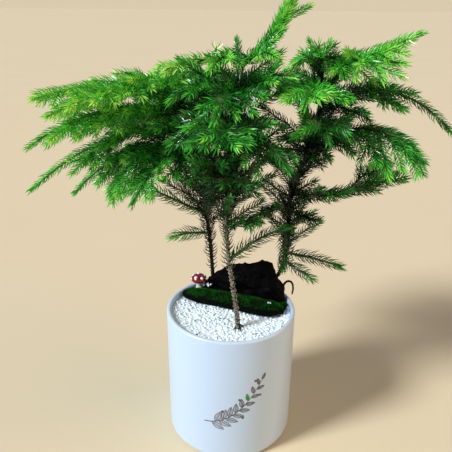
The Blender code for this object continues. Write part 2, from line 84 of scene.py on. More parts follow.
def linear(hex_colour):
    """An sRGB hex colour as linear red, green, blue and alpha."""
    channels = [int(hex_colour[i : i + 2], 16) / 255 for i in (1, 3, 5)]
    return (*[c / 12.92 if c <= 0.04045 else ((c + 0.055) / 1.055) ** 2.4 for c in channels], 1.0)


def add_node(tree, kind, inputs=(), **settings):
    """Adds a node. Each input is given a plain value, or the output that feeds it."""
    node = tree.nodes.new("ShaderNode" + kind)
    for setting, value in settings.items():
        setattr(node, setting, value)
    for socket, value in dict(inputs).items():
        if isinstance(value, bpy.types.NodeSocket):
            tree.links.new(value, node.inputs[socket])
        else:
            node.inputs[socket].default_value = value
    return node


def new_finish(name, **values):
    """A material with its Principled shader set to plain values: the material, its tree, the shader."""
    made = bpy.data.materials.new(name)
    made.use_nodes = True
    shader = made.node_tree.nodes["Principled BSDF"]
    for socket, value in values.items():
        shader.inputs[socket.replace("_", " ")].default_value = value
    return made, made.node_tree, shader


def mottled(name, dark, pale, size, detail=2.0, spread=(0.0, 1.0), stretch=None, bump=None, **values):
    """A finish of two colours in soft patches of a size in metres; bump is a strength and a height."""
    made, tree, shader = new_finish(name, **values)
    place = add_node(tree, "TexCoord").outputs["Object"]
    if stretch:
        place = add_node(tree, "Mapping", {"Vector": place, "Scale": stretch}).outputs[0]
    patches = add_node(tree, "TexNoise", {"Vector": place, "Scale": 1 / size, "Detail": detail})
    even = add_node(tree, "MapRange", {0: patches.outputs[0], 1: spread[0], 2: spread[1]})
    colours = {0: even.outputs[0], 6: linear(dark), 7: linear(pale)}
    mix = add_node(tree, "Mix", colours, data_type="RGBA")
    tree.links.new(mix.outputs[2], shader.inputs["Base Color"])
    if bump:
        settings = {"Height": patches.outputs[0], "Strength": bump[0], "Distance": bump[1]}
        tree.links.new(add_node(tree, "Bump", settings).outputs[0], shader.inputs["Normal"])
    return made


def add_piece(name, made, finish, smooth=True):
    """Puts a mesh, or a bmesh that is done with, into the scene as an object at the origin."""
    if isinstance(made, bmesh.types.BMesh):
        mesh = bpy.data.meshes.new(name)
        made.to_mesh(mesh)
        made.free()
    else:
        mesh = made
    if smooth:
        mesh.shade_smooth()
        mesh.set_sharp_from_angle(angle=math.radians(40))
    mesh.materials.append(finish)
    piece = bpy.data.objects.new(name, mesh)
    bpy.context.scene.collection.objects.link(piece)
    return piece


# Painted floor: smooth matt paint, with broad faint clouding from the roller
floor_paint = mottled("pale floor paint", "#dccaa6", "#e2d0ad", CLOUD_SIZE, Roughness=0.75)

floor_mesh = bmesh.new()
bmesh.ops.create_grid(floor_mesh, x_segments=1, y_segments=1, size=FLOOR_HALF)
studio_floor = add_piece("studio_floor", floor_mesh, floor_paint, smooth=False)

for name, strength, tint, angle, source in (
    ("key", 3.9, "#f6faff", 14, KEY_FROM),
    ("fill", 1.5, "#ffcf8c", 60, FILL_FROM),
):
    lamp = bpy.data.lights.new(name, "SUN")
    lamp.energy = strength
    lamp.color = linear(tint)[:3]
    lamp.angle = math.radians(angle)
    stand = bpy.data.objects.new(name, lamp)
    stand.rotation_euler = source.to_track_quat("Z", "Y").to_euler()
    bpy.context.scene.collection.objects.link(stand)

surround = bpy.data.worlds.new("surround")
surround.use_nodes = True
pale = surround.node_tree.nodes["Background"]
pale.inputs["Color"].default_value = linear("#c9dffb")
pale.inputs["Strength"].default_value = SURROUND_STRENGTH
tree = surround.node_tree
backing = add_node(tree, "Background", {"Color": linear(BACKING_COLOUR)})
seen = add_node(tree, "LightPath").outputs["Is Camera Ray"]
either = add_node(tree, "MixShader", {0: seen, 1: pale.outputs[0], 2: backing.outputs[0]})
tree.links.new(either.outputs[0], tree.nodes["World Output"].inputs["Surface"])
bpy.context.scene.world = surround
bpy.context.scene.view_settings.view_transform = "Standard"


# Pot
# A slip-cast earthenware cylinder in a satin white glaze, which rounds over the lip and covers
# the inside too. The foot ring underneath is wiped bare before firing.
POT_WALL = 4.7 * MM
POT_FLOOR = 6.0 * MM
FOOT_ROUNDING = 5.7 * MM
FOOT_RING = 7.0 * MM
FOOT_RECESS = 1.5 * MM
FOOT_BEVEL = 1.0 * MM
INNER_CORNER = 4.0 * MM
POT_STEPS = 160

pot_low, pot_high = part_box("pot")
pot_radius = (pot_high.x - pot_low.x) / 2
pot_height = pot_high.z


def arc(centre_r, centre_z, radius, start, end, steps):
    """Points of a round corner in the (radius, height) plane, from start to end in degrees."""
    angles = [math.radians(start + (end - start) * i / steps) for i in range(steps + 1)]
    return [(centre_r + radius * math.cos(a), centre_z + radius * math.sin(a)) for a in angles]


def turned(outline, steps):
    """A closed solid, spun from (radius, height) points that start and end on the axis."""
    bm = bmesh.new()
    verts = [bm.verts.new((radius, 0.0, height)) for radius, height in outline]
    edges = [bm.edges.new(pair) for pair in zip(verts, verts[1:])]
    bmesh.ops.spin(
        bm, geom=verts + edges, axis=(0, 0, 1), angle=math.tau, steps=steps, use_merge=True
    )
    bmesh.ops.remove_doubles(bm, verts=bm.verts[:], dist=1e-7)
    bmesh.ops.recalc_face_normals(bm, faces=bm.faces[:])
    return bm


# Satin glaze on earthenware: even and faintly cool, with a fine orange peel, thinner and
# warmer where it breaks over the lip, and bare buff clay at the foot ring
glaze, tree, shader = new_finish("satin white glaze", Roughness=0.28, Coat_Weight=0.35, Coat_Roughness=0.12)
place = add_node(tree, "TexCoord").outputs["Object"]
height = add_node(tree, "SeparateXYZ", {0: place}).outputs[2]
pooling = add_node(tree, "TexNoise", {"Vector": place, "Scale": 1 / (45 * MM), "Detail": 1.0})
breaking = {1: pot_height - 1.6 * MM, 2: pot_height - 0.2 * MM, 4: 0.35}
lip = add_node(tree, "MapRange", {0: height, **breaking})
glazes = {0: lip.outputs[0], 6: linear("#bed4ee"), 7: linear("#dddcd8")}
glazed = add_node(tree, "Mix", glazes, data_type="RGBA")
bare = add_node(tree, "MapRange", {0: height, 1: 0.5 * MM, 2: 1.1 * MM, 3: 1.0, 4: 0.0})
glazes = {0: bare.outputs[0], 6: glazed.outputs[2], 7: linear("#cdbca3")}
colour = add_node(tree, "Mix", glazes, data_type="RGBA")
tree.links.new(colour.outputs[2], shader.inputs["Base Color"])
gloss = add_node(tree, "MapRange", {0: pooling.outputs[0], 3: 0.29, 4: 0.34})
tree.links.new(gloss.outputs[0], shader.inputs["Roughness"])
peel = add_node(tree, "TexNoise", {"Vector": place, "Scale": 1 / (1.8 * MM), "Detail": 1.0})
relief = add_node(tree, "Bump", {"Height": peel.outputs[0], "Strength": 0.25, "Distance": 0.03 * MM})
tree.links.new(relief.outputs[0], shader.inputs["Normal"])

lip_radius = POT_WALL / 2
inner_radius = pot_radius - POT_WALL
ring_inside = pot_radius - FOOT_ROUNDING - FOOT_RING
outline = [(0.0, FOOT_RECESS), (ring_inside - FOOT_BEVEL, FOOT_RECESS), (ring_inside, 0.0)]
outline += arc(pot_radius - FOOT_ROUNDING, FOOT_ROUNDING, FOOT_ROUNDING, -90, 0, 8)
outline += arc(pot_radius - lip_radius, pot_height - lip_radius, lip_radius, 0, 180, 12)
outline += arc(inner_radius - INNER_CORNER, POT_FLOOR + INNER_CORNER, INNER_CORNER, 0, -90, 5)
outline.append((0.0, POT_FLOOR))
pot = add_piece("pot_body", turned(outline, POT_STEPS), glaze)
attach(pot, "root")
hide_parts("pot")


# Print on the pot
# A plain leafy sprig in grey-brown ink with one green leaf: an overglaze transfer, fired onto
# the wall. The ink stands a few hundredths of a millimetre proud of the glaze.
INK_PROUD = 0.07 * MM
INK_SUNK = 0.04 * MM
OUTLINE_WIDTH = 0.55
VEIN_WIDTH = 0.34
SPRIG_FROM = Vector((-25.0, 46.0))
SPRIG_BEND = Vector((8.0, 48.0))
SPRIG_TO = Vector((32.0, 94.0))
LEAF_PAIRS = 8
LEAF_LENGTHS = (15.5, 7.5)
LEAF_WIDTH_SHARE = 0.42
LEAF_SPREAD = math.radians(48)
GREEN_LEAF = 11
STALK_WIDTHS = (1.1, 0.4)
STALK_STEPS = 24
BERRY_WIDTH = 2.6
BERRY_STEM = 4.0
# Berries: how far up the stalk each one hangs, from 0 to 1, and how far out in millimetres
BERRIES = ((0.30, 9.0), (0.47, -9.5), (0.63, 8.5), (0.80, -7.5), (0.93, 6.5))


def ink_strip(points, widths):
    """A strip of ink along points on the unrolled wall, in millimetres across and up."""
    bm = bmesh.new()
    last = len(points) - 1
    bmesh.ops.create_grid(bm, x_segments=last, y_segments=1, size=0.5)
    for vert in bm.verts:
        i = round((vert.co.x + 0.5) * last)
        ahead = points[min(i + 1, last)] - points[max(i - 1, 0)]
        side = Vector((-ahead.y, ahead.x)).normalized()
        vert.co = (points[i] + side * (vert.co.y * widths[i])).to_3d()
    return bm


def onto_wall(ink, strips):
    """Wraps flat strips round the pot's wall, gives them their thickness and adds them to the ink."""
    for strip in strips:
        for vert in strip.verts:
            angle = vert.co.x * MM / pot_radius
            out = pot_radius + INK_PROUD
            vert.co = (out * math.sin(angle), -out * math.cos(angle), vert.co.y * MM)
        bmesh.ops.recalc_face_normals(strip, faces=strip.faces[:])
        outward = strip.faces[:][0]
        if outward.normal.dot(outward.calc_center_median()) < 0:
            bmesh.ops.reverse_faces(strip, faces=strip.faces[:])
        bmesh.ops.solidify(strip, geom=strip.faces[:], thickness=INK_PROUD + INK_SUNK)
        flat = bpy.data.meshes.new("strip")
        strip.to_mesh(flat)
        strip.free()
        ink.from_mesh(flat)
        bpy.data.meshes.remove(flat)


def curve_point(share):
    """A point on the sprig's stalk, from its cut end to its tip."""
    return SPRIG_FROM.lerp(SPRIG_BEND, share).lerp(SPRIG_BEND.lerp(SPRIG_TO, share), share)


def leaf_edge(root, along, side, length, bulge, share):
    """A point on one edge of a leaf, which is widest a little before its middle."""
    half = length * LEAF_WIDTH_SHARE / 2 * math.sin(math.pi * share**0.85)
    return root + along * (length * share) + side * (half * bulge)


grey_ink = bmesh.new()
green_ink = bmesh.new()
stalk = [curve_point(share) for share in np.linspace(0, 1, STALK_STEPS + 1)]
onto_wall(grey_ink, [ink_strip(stalk, np.linspace(*STALK_WIDTHS, STALK_STEPS + 1))])
for i in range(LEAF_PAIRS * 2 + 1):
    share = 0.12 + 0.88 * i / (LEAF_PAIRS * 2)
    root = curve_point(min(1.0, share))
    heading = (curve_point(min(1.0, share) + 0.01) - root).normalized()
    turn = 0.0 if i == LEAF_PAIRS * 2 else LEAF_SPREAD * (1 if i % 2 else -1)
    along = Matrix.Rotation(turn, 2) @ heading
    side = Vector((-along.y, along.x))
    length = LEAF_LENGTHS[0] + (LEAF_LENGTHS[1] - LEAF_LENGTHS[0]) * share
    edges = [[leaf_edge(root, along, side, length, b, k / 10) for k in range(11)] for b in (1, -1)]
    if i == GREEN_LEAF:
        widths = [(a - b).length for a, b in zip(*edges)]
        onto_wall(green_ink, [ink_strip([(a + b) / 2 for a, b in zip(*edges)], widths)])
        continue
    strips = [ink_strip(edge, [OUTLINE_WIDTH] * 11) for edge in edges]
    middle = [root + along * (length * k / 10) for k in range(10)]
    strips.append(ink_strip(middle, [OUTLINE_WIDTH - 0.02 * k for k in range(10)]))
    for k in range(1, 8):
        start = middle[k]
        for bulge in (1, -1):
            end = leaf_edge(root, along, side, length, bulge * 0.92, min(0.98, k / 10 + 0.17))
            strips.append(ink_strip([start, start.lerp(end, 0.5), end], [VEIN_WIDTH] * 3))
    onto_wall(grey_ink, strips)
for share, out in BERRIES:
    root = curve_point(share)
    heading = (curve_point(share + 0.01) - root).normalized()
    side = Vector((-heading.y, heading.x))
    middle = root + heading * BERRY_STEM + side * out
    spots = [middle + heading * (BERRY_WIDTH * (k / 8 - 0.5)) for k in range(9)]
    rounds = [BERRY_WIDTH * math.sqrt(max(0.02, 1 - (k / 4 - 1) ** 2)) for k in range(9)]
    reach = [root.lerp(middle, k / 6) + heading * math.sin(math.pi * k / 6) for k in range(7)]
    onto_wall(grey_ink, [ink_strip(spots, rounds), ink_strip(reach, [VEIN_WIDTH] * 7)])

# Fired overglaze ink: matt beside the glaze, and a little uneven where the transfer took
for name, ink, pale, dark in (
    ("grey_print", grey_ink, "#6b6159", "#40372f"),
    ("green_print", green_ink, "#3f9a48", "#237a2f"),
):
    finish = mottled("fired ink of the " + name, dark, pale, 3 * MM, spread=(0.35, 0.65), Roughness=0.5)
    printed = add_piece(name, ink, finish, smooth=False)
    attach(printed, "root")


# Potting mix
# Peat and fine bark under the gravel, which hides it: it fills the pot to 15 mm below the lip.
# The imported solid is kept, in a crumbly dark finish.
mix, tree, shader = new_finish("peat potting mix", Roughness=0.95)
place = add_node(tree, "TexCoord").outputs["Object"]
crumbs = add_node(tree, "TexVoronoi", {"Vector": place, "Scale": 1 / (2.5 * MM)})
browns = {0: crumbs.outputs[0], 6: linear("#2a1d13"), 7: linear("#4a3624")}
colour = add_node(tree, "Mix", browns, data_type="RGBA")
tree.links.new(colour.outputs[2], shader.inputs["Base Color"])
relief = add_node(tree, "Bump", {"Height": crumbs.outputs[0], "Strength": 0.8, "Distance": 0.8 * MM})
tree.links.new(relief.outputs[0], shader.inputs["Normal"])
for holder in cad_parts["potting_mix"].material_slots:
    holder.material = mix


# Gravel
# Washed white marble chippings, 2 to 3 mm across, poured over the mix and levelled a little below
# the lip. A lumpy bed closes the gaps, and loose grains lie on it wherever the moss leaves it bare.
GRAVEL_SEED = 41
GRAIN_PITCH = 1.9
GRAIN_SIZES = (1.2, 2.1)
GRAIN_SHAPES = 8
WALL_HEAP = 2.4 * MM
UPPER_GRAINS = 0.22
BED_DROP = 0.5 * MM
BED_RINGS = 24
WALL_GAP = 1.2 * MM
GRAIN_SINK = 1.2 * MM
SWELL_SIZE = 14 * MM
MOSS_TURN = math.radians(-20.6)
MOSS_FRONT = 1.6 * MM
MOSS_ENDS = (-60 * MM, 50 * MM)
MOSS_CORNER = 16 * MM

gravel_low, gravel_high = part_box("gravel")
gravel_radius = (gravel_high.x - gravel_low.x) / 2


def lumps(place, size):
    """Smooth noise from -1 to 1 whose lumps are about that many metres across."""
    return noise.noise(Vector(place) / size)


def repeated(name, corners, faces, finish, smooth=True):
    """One object of many small shapes: corners is (shapes, corners, 3), and faces is for one."""
    count, size = corners.shape[:2]
    every = (np.asarray(faces)[None] + (np.arange(count) * size)[:, None, None]).reshape(-1, 3)
    mesh = bpy.data.meshes.new(name)
    mesh.vertices.add(count * size)
    mesh.vertices.foreach_set("co", corners.astype(np.float32).ravel())
    mesh.loops.add(every.size)
    mesh.loops.foreach_set("vertex_index", every.astype(np.int32).ravel())
    mesh.polygons.add(len(every))
    mesh.polygons.foreach_set("loop_start", np.arange(0, every.size, 3, dtype=np.int32))
    mesh.update(calc_edges=True)
    return add_piece(name, mesh, finish, smooth)


def heap(x, y):
    """How much higher the gravel lies near the wall than in the middle."""
    return WALL_HEAP * min(1.0, math.hypot(x, y) / gravel_radius) ** 6


def tumbled(count, draw):
    """Random turns for that many grains."""
    turns, _ = np.linalg.qr(draw.normal(size=(count, 3, 3)))
    turns[:, :, 0] *= np.linalg.det(turns)[:, None]
    return turns


def moss_side(x, y):
    """Place in the moss's own frame: along its front edge, and back from the pot's middle."""
    return (
        x * math.cos(MOSS_TURN) + y * math.sin(MOSS_TURN),
        y * math.cos(MOSS_TURN) - x * math.sin(MOSS_TURN),
    )


# White marble chippings: sugary broken faces, nearly pure white, some chips faintly bluer
marble, tree, shader = new_finish("white marble chippings", Roughness=0.55)
place = add_node(tree, "TexCoord").outputs["Object"]
chips = add_node(tree, "TexVoronoi", {"Vector": place, "Scale": 1 / (2.6 * MM)})
shade = add_node(tree, "SeparateXYZ", {0: chips.outputs["Color"]})
whites = {0: shade.outputs[0], 6: linear("#e0f0fa"), 7: linear("#f3fbff")}
colour = add_node(tree, "Mix", whites, data_type="RGBA")
tree.links.new(colour.outputs[2], shader.inputs["Base Color"])
sugar = add_node(tree, "TexNoise", {"Vector": place, "Scale": 1 / (0.4 * MM), "Detail": 2.0})
relief = add_node(tree, "Bump", {"Height": sugar.outputs[0], "Strength": 0.3, "Distance": 0.1 * MM})
tree.links.new(relief.outputs[0], shader.inputs["Normal"])

bed_top = gravel_high.z - BED_DROP
outline = [(0.0, gravel_low.z), (gravel_radius, gravel_low.z)]
outline += [(gravel_radius * (1 - i / BED_RINGS), bed_top) for i in range(BED_RINGS + 1)]
bed = turned(outline, 120)
for vert in bed.verts:
    if vert.co.z > bed_top - 1e-6:
        vert.co.z += 0.5 * MM * lumps(vert.co, 5 * MM) + heap(vert.co.x, vert.co.y)
gravel_bed = add_piece("gravel_bed", bed, marble)
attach(gravel_bed, "root")
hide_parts("gravel")

chip = bmesh.new()
bmesh.ops.create_icosphere(chip, subdivisions=1, radius=1.0)
chip_corners = np.array([vert.co for vert in chip.verts])
chip_faces = [[vert.index for vert in face.verts] for face in chip.faces]
chip.free()
draw = np.random.default_rng(GRAVEL_SEED)
shapes = chip_corners[None] * draw.uniform(0.72, 1.12, (GRAIN_SHAPES, len(chip_corners), 1))
shapes = shapes * np.array((1.0, 0.9, 0.78))
spots = []
half_rows = int(gravel_radius / (GRAIN_PITCH * MM)) + 1
for row in range(-half_rows, half_rows + 1):
    for column in range(-half_rows, half_rows + 1):
        x = (column + 0.5 * (row % 2) + draw.uniform(-0.25, 0.25)) * GRAIN_PITCH * MM
        y = (row + draw.uniform(-0.25, 0.25)) * GRAIN_PITCH * MM
        along, back = moss_side(x, y)
        beside = along > MOSS_ENDS[1] or (back < MOSS_CORNER and along < MOSS_ENDS[0])
        if (back < MOSS_FRONT or beside) and math.hypot(x, y) < gravel_radius - WALL_GAP:
            swell = 0.6 * MM * lumps((x, y, 0), SWELL_SIZE) + heap(x, y)
            spots.append((x, y, gravel_high.z - GRAIN_SINK + swell))
            if draw.random() < UPPER_GRAINS:
                spots.append((x + 0.8 * MM, y + 0.5 * MM, gravel_high.z + 0.1 * MM + swell))
spots = np.array(spots)
turns = tumbled(len(spots), draw)
sizes = draw.uniform(*GRAIN_SIZES, (len(spots), 1, 1)) * MM
grains = shapes[draw.integers(0, GRAIN_SHAPES, len(spots))] * sizes
grains = np.einsum("nij,nkj->nki", turns, grains) + spots[:, None]
gravel = repeated("gravel_grains", grains, chip_faces, marble, smooth=False)
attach(gravel, "root")


# Moss bank
# Preserved moss matting: dense green pile on a dark felt. A flat piece covers the back of the
# gravel, and a strip of it, rolled up tight, lies along the front edge.
MOSS_RADIUS = 58.6 * MM
ROLL_BACK = 12.6 * MM
ROLL_FRONT_HALF = 14.0 * MM
CUT_EDGE_SHADE_BAND = 6.8 * MM
ROLL_SHIFT = -4.2 * MM
ROLL_HALF_LENGTH = 55.5 * MM
ROLL_TAPER = 0.3
MAT_END = 51.0 * MM
ROLL_HALF_WIDTH = 9.2 * MM
ROLL_BLUNTNESS = 0.3
ROLL_SQUARE = 0.5
MAT_THICK = 4.0 * MM
PILE_ROOM = 0.7 * MM
PILE_LENGTH = (1.0, 2.0)
PILE_WIDTH = 0.34
PILE_COUNT = 21000
PILE_LEAN = 0.45
PILE_SUNK = 0.3 * MM
LIT_ABOVE = 0.5
MOSS_SEED = 12

moss_low, moss_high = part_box("moss_bank")
roll_height = moss_high.z - moss_low.z
mat_top = moss_low.z + MAT_THICK


def cut_away(bm, at, facing):
    """Cuts a mesh through a point and takes away what lies on the facing side."""
    whole = bm.verts[:] + bm.edges[:] + bm.faces[:]
    bmesh.ops.bisect_plane(bm, geom=whole, plane_co=at, plane_no=facing, clear_outer=True)


def close_holes(bm):
    """Closes every open rim of a mesh with one face."""
    bmesh.ops.holes_fill(bm, edges=[edge for edge in bm.edges if edge.is_boundary], sides=0)


felt_mesh = turned([(0, moss_low.z), (MOSS_RADIUS, moss_low.z), (MOSS_RADIUS, mat_top), (0, mat_top)], 64)
cut_away(felt_mesh, (0, ROLL_BACK, 0), (0, -1, 0))
cut_away(felt_mesh, (MAT_END, 0, 0), (1, 0, 0))
close_holes(felt_mesh)
log = bmesh.ops.create_uvsphere(felt_mesh, u_segments=40, v_segments=24, radius=1.0)["verts"]
bmesh.ops.rotate(felt_mesh, cent=(0, 0, 0), matrix=Matrix.Rotation(math.pi / 2, 3, "Y"), verts=log)
for vert in log:
    blunt = math.copysign(abs(vert.co.x) ** ROLL_BLUNTNESS, vert.co.x)
    across, up = vert.co.y, vert.co.z
    out = math.hypot(across, up)
    if up < 0:
        across = math.copysign((abs(across) / out) ** ROLL_SQUARE * out, across)
        up = -((-up / out) ** ROLL_SQUARE) * out
    full = 1.0 - ROLL_TAPER * max(0.0, -blunt) ** 1.5
    vert.co = (
        blunt * ROLL_HALF_LENGTH + ROLL_SHIFT,
        ROLL_BACK + across * (ROLL_FRONT_HALF if across < 0 else ROLL_HALF_WIDTH * full),
        moss_low.z + roll_height / 2 * full + up * (roll_height / 2 * full - PILE_ROOM),
    )
bmesh.ops.rotate(
    felt_mesh, cent=(0, 0, 0), matrix=Matrix.Rotation(MOSS_TURN, 3, "Z"), verts=felt_mesh.verts[:]
)

# Felt backing: matt and almost black, seen between the pile and along the strip's cut edge. Its near
# black is partly the felt's own colour and partly painted shade under the front of the roll.
felt = mottled("moss felt", "#010201", "#030903", 1.5 * MM, 3.0, Roughness=1.0, Specular_IOR_Level=0.1)
moss = add_piece("moss_felt", felt_mesh, felt)
knit = moss.modifiers.new("knit", "REMESH")
knit.mode = "VOXEL"
knit.voxel_size = 1.0 * MM
bpy.context.view_layer.update()
whole = bpy.data.meshes.new_from_object(moss.evaluated_get(bpy.context.evaluated_depsgraph_get()))
moss.modifiers.clear()
moss.data = whole
for vert in whole.vertices:
    swell = 0.7 * lumps(vert.co, 9 * MM) + 0.35 * lumps(vert.co, 3 * MM)
    if vert.co.z > moss_low.z + 1 * MM:
        vert.co += vert.normal * (swell * MM)
whole.shade_smooth()
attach(moss, "root")
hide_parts("moss_bank")


SPIKE_FACES = ((0, 2, 1), (0, 1, 3), (1, 2, 3), (2, 0, 3))


def spikes(base, tip, width, draw):
    """Corners of thin three-sided spikes between pairs of points."""
    along = tip - base
    along /= np.linalg.norm(along, axis=1, keepdims=True)
    loose = draw.normal(size=along.shape)
    side = np.cross(along, loose)
    side /= np.linalg.norm(side, axis=1, keepdims=True)
    over = np.cross(along, side)
    thirds = (0.0, math.tau / 3, -math.tau / 3)
    ring = [base + width * (side * math.cos(a) + over * math.sin(a)) for a in thirds]
    return np.stack([*ring, tip], axis=1)


draw = np.random.default_rng(MOSS_SEED)
whole.calc_loop_triangles()
places = np.array([vert.co for vert in whole.vertices])
normals = np.array([vert.normal for vert in whole.vertices])
thirds = np.array([triangle.vertices for triangle in whole.loop_triangles])
a, b, c = (places[thirds[:, i]] for i in range(3))
areas = np.linalg.norm(np.cross(b - a, c - a), axis=1)
picked = draw.choice(len(thirds), PILE_COUNT, p=areas / areas.sum())
mixes = draw.dirichlet((1, 1, 1), PILE_COUNT)
roots = np.einsum("nk,nkj->nj", mixes, places[thirds[picked]])
facing = np.einsum("nk,nkj->nj", mixes, normals[thirds[picked]])
back = np.array([moss_side(x, y)[1] for x, y, _ in roots])
# No pile on the roll's front below the cut edge: the bare near-black felt there is a painted shade band
kept = (roots[:, 2] > moss_low.z + CUT_EDGE_SHADE_BAND) | (back > ROLL_BACK)
roots, facing = roots[kept], facing[kept]
leaning = facing + draw.normal(0, PILE_LEAN, roots.shape)
leaning /= np.linalg.norm(leaning, axis=1, keepdims=True)
reach = draw.uniform(*PILE_LENGTH, (len(roots), 1)) * MM
pile = spikes(roots - facing * PILE_SUNK, roots + leaning * reach, PILE_WIDTH * MM / 2, draw)
# Pile that faces up counts as lit; the rest gets the near-black painted shade
lit = facing[:, 2] + 0.3 * facing[:, 1] + draw.normal(0, 0.1, len(roots)) > LIT_ABOVE

# Moss pile: matt and velvety. The pile that faces down and to the front of the roll is painted near black
# as shade, and the pile along its crown, facing up, is green.
for name, chosen, dark, pale in (
    ("moss_pile_dark", ~lit, "#010601", "#031603"),
    ("moss_pile_green", lit, "#063606", "#1a7e12"),
):
    matt = {"Roughness": 0.9, "Specular_IOR_Level": 0.1}
    finish = mottled(name.replace("_", " "), dark, pale, 11 * MM, 3.0, (0.4, 0.62), **matt)
    tufted = repeated(name, pile[chosen], SPIKE_FACES, finish, smooth=False)
    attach(tufted, "root")
    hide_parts("moss_bank")


# Stone
# A dark weathered lava boulder, pitted and ridged, that leans along the back of the moss roll
# and stands on the mat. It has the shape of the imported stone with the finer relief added.
STONE_SEED = 5905
STONE_MIDDLE = (14.0, 27.7)
STONE_TURN = math.radians(-16.0)
STONE_HALF_LENGTH = 44.0
STONE_FOOT_LIMIT = 57.5
STONE_LIMIT = 62.0
STONE_LENGTHS = (-44.0, -31.0, -16.0, 0.0, 9.0, 17.0, 27.0, 37.0, 44.0)
STONE_RIDGE = (10.0, 23.0, 34.0, 38.5, 39.5, 42.5, 36.5, 17.0, 4.0)
STONE_DEPTH = (2.0, 3.2, 7.0, 8.8, 9.4, 10.0, 10.5, 10.0, 8.0)
STONE_SEAT = 1.0 * MM
STONE_WEAR = 1.0
STONE_KNOBS = 16
KNOB_HEIGHTS = (-0.10, 0.16)

stone_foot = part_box("stone")[0].z
rng = random.Random(STONE_SEED)
knobs = [Vector([rng.uniform(-1, 1) for _ in range(3)]).normalized() for _ in range(STONE_KNOBS)]
heights = [rng.uniform(*KNOB_HEIGHTS) for _ in knobs]
boulder = bmesh.new()
bmesh.ops.create_icosphere(boulder, subdivisions=6, radius=1.0)
turn = Matrix.Rotation(STONE_TURN, 3, "Z")
for vert in boulder.verts:
    shape = vert.co * (1.0 + sum(d * max(0.0, vert.co.dot(k)) ** 8 for k, d in zip(knobs, heights)))
    run = max(-1.0, min(1.0, shape.x)) * STONE_HALF_LENGTH
    slimness = math.sqrt(max(0.15, 1.0 - min(1.0, abs(shape.x)) ** 2))
    side = max(-1.0, min(1.0, shape.y / slimness))
    lift = max(0.0, (shape.z / slimness + 0.35) / 1.35) * np.interp(run, STONE_LENGTHS, STONE_RIDGE)
    spot = turn @ Vector((run, side * np.interp(run, STONE_LENGTHS, STONE_DEPTH), 0.0))
    spot += Vector((*STONE_MIDDLE, lift))
    limit = STONE_FOOT_LIMIT + (STONE_LIMIT - STONE_FOOT_LIMIT) * min(1.0, lift / 9.0)
    out = math.hypot(spot.x, spot.y)
    if out > limit:
        spot.x *= limit / out
        spot.y *= limit / out
    vert.co = Vector((spot.x * MM, spot.y * MM, stone_foot + spot.z * MM))
boulder.normal_update()
for vert in boulder.verts:
    ridges = 1.3 * (1.0 - abs(lumps(vert.co, 9 * MM)) * 2.2)
    knolls = 2.2 * lumps(vert.co, 13 * MM)
    pits = 1.8 * min(0.0, lumps(vert.co, 2.6 * MM) + 0.1)
    grain = 0.2 * lumps(vert.co, 1.1 * MM)
    if vert.co.z > stone_foot + STONE_SEAT:
        vert.co += vert.normal * ((ridges + knolls + pits + grain - STONE_WEAR) * MM)
cut_away(boulder, (0, 0, stone_foot + 0.05 * MM), (0, 0, -1))
close_holes(boulder)
bmesh.ops.recalc_face_normals(boulder, faces=boulder.faces[:])

# Dark lava: near black, browner and duller in soft patches, with faint mineral freckles
lava, tree, shader = new_finish("dark lava stone", Roughness=0.8, Specular_IOR_Level=0.05)
place = add_node(tree, "TexCoord").outputs["Object"]
clouds = add_node(tree, "TexNoise", {"Vector": place, "Scale": 1 / (12 * MM), "Detail": 5.0})
even = add_node(tree, "MapRange", {0: clouds.outputs[0], 1: 0.38, 2: 0.66})
blacks = {0: even.outputs[0], 6: linear("#010101"), 7: linear("#050303")}
rock = add_node(tree, "Mix", blacks, data_type="RGBA")
freckles = add_node(tree, "TexNoise", {"Vector": place, "Scale": 1 / (1.2 * MM), "Detail": 2.0})
few = add_node(tree, "MapRange", {0: freckles.outputs[0], 1: 0.64, 2: 0.78, 4: 0.5})
blacks = {0: few.outputs[0], 6: rock.outputs[2], 7: linear("#1e1814")}
colour = add_node(tree, "Mix", blacks, data_type="RGBA")
tree.links.new(colour.outputs[2], shader.inputs["Base Color"])
gloss = add_node(tree, "MapRange", {0: clouds.outputs[0], 1: 0.3, 2: 0.7, 3: 0.5, 4: 0.85})
tree.links.new(gloss.outputs[0], shader.inputs["Roughness"])
relief = add_node(tree, "Bump", {"Height": freckles.outputs[0], "Strength": 0.6, "Distance": 0.3 * MM})
tree.links.new(relief.outputs[0], shader.inputs["Normal"])
stone = add_piece("lava_stone", boulder, lava)
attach(stone, "root")
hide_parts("stone")


# Toadstool
# A cast resin ornament on the mat: a red enamelled cap with raised white dots, on a pale stalk
# with a flared foot. The stalk's pin is pushed down into the moss.
# Dots: azimuth and climb in degrees, and radius in millimetres
CAP_DOTS = ((110, 74, 1.7), (15, 40, 1.4), (95, 32, 1.4), (165, 42, 1.4), (238, 46, 1.8), (302, 40, 1.7))
LOW_DOTS = ((-18, 12, 1.1), (60, 10, 1.2), (130, 14, 1.0), (200, 14, 1.1))
DOT_RISE = 0.45 * MM
CAP_FLARE = 0.4 * MM
CAP_RIM = 1.6 * MM
CAP_FLATTER = 1.4 * MM
STALK_INTO_CAP = 1.0 * MM
STALK_TOP = 0.74
# Outlines: share of the cap's or the stalk's radius, and millimetres above its lowest point
CAP_UNDERSIDE = ((0.0, 1.2), (0.5, 0.9), (0.84, 0.1), (0.95, 0.35))
STALK_SIDE = ((0.0, 0.0), (1.0, 0.0), (0.97, 1.0), (0.78, 3.0), (0.72, 6.0))

cap_low, cap_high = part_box("toadstool_cap")
stalk_low, stalk_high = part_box("toadstool_stalk")
cap_radius = (cap_high.x - cap_low.x) / 2 + CAP_FLARE
cap_rim = cap_low.z + CAP_RIM
cap_dome = cap_high.z - cap_rim - CAP_FLATTER
middle = Vector(((cap_low.x + cap_high.x) / 2, (cap_low.y + cap_high.y) / 2, 0))
stalk_wide = (stalk_high.x - stalk_low.x) / 2

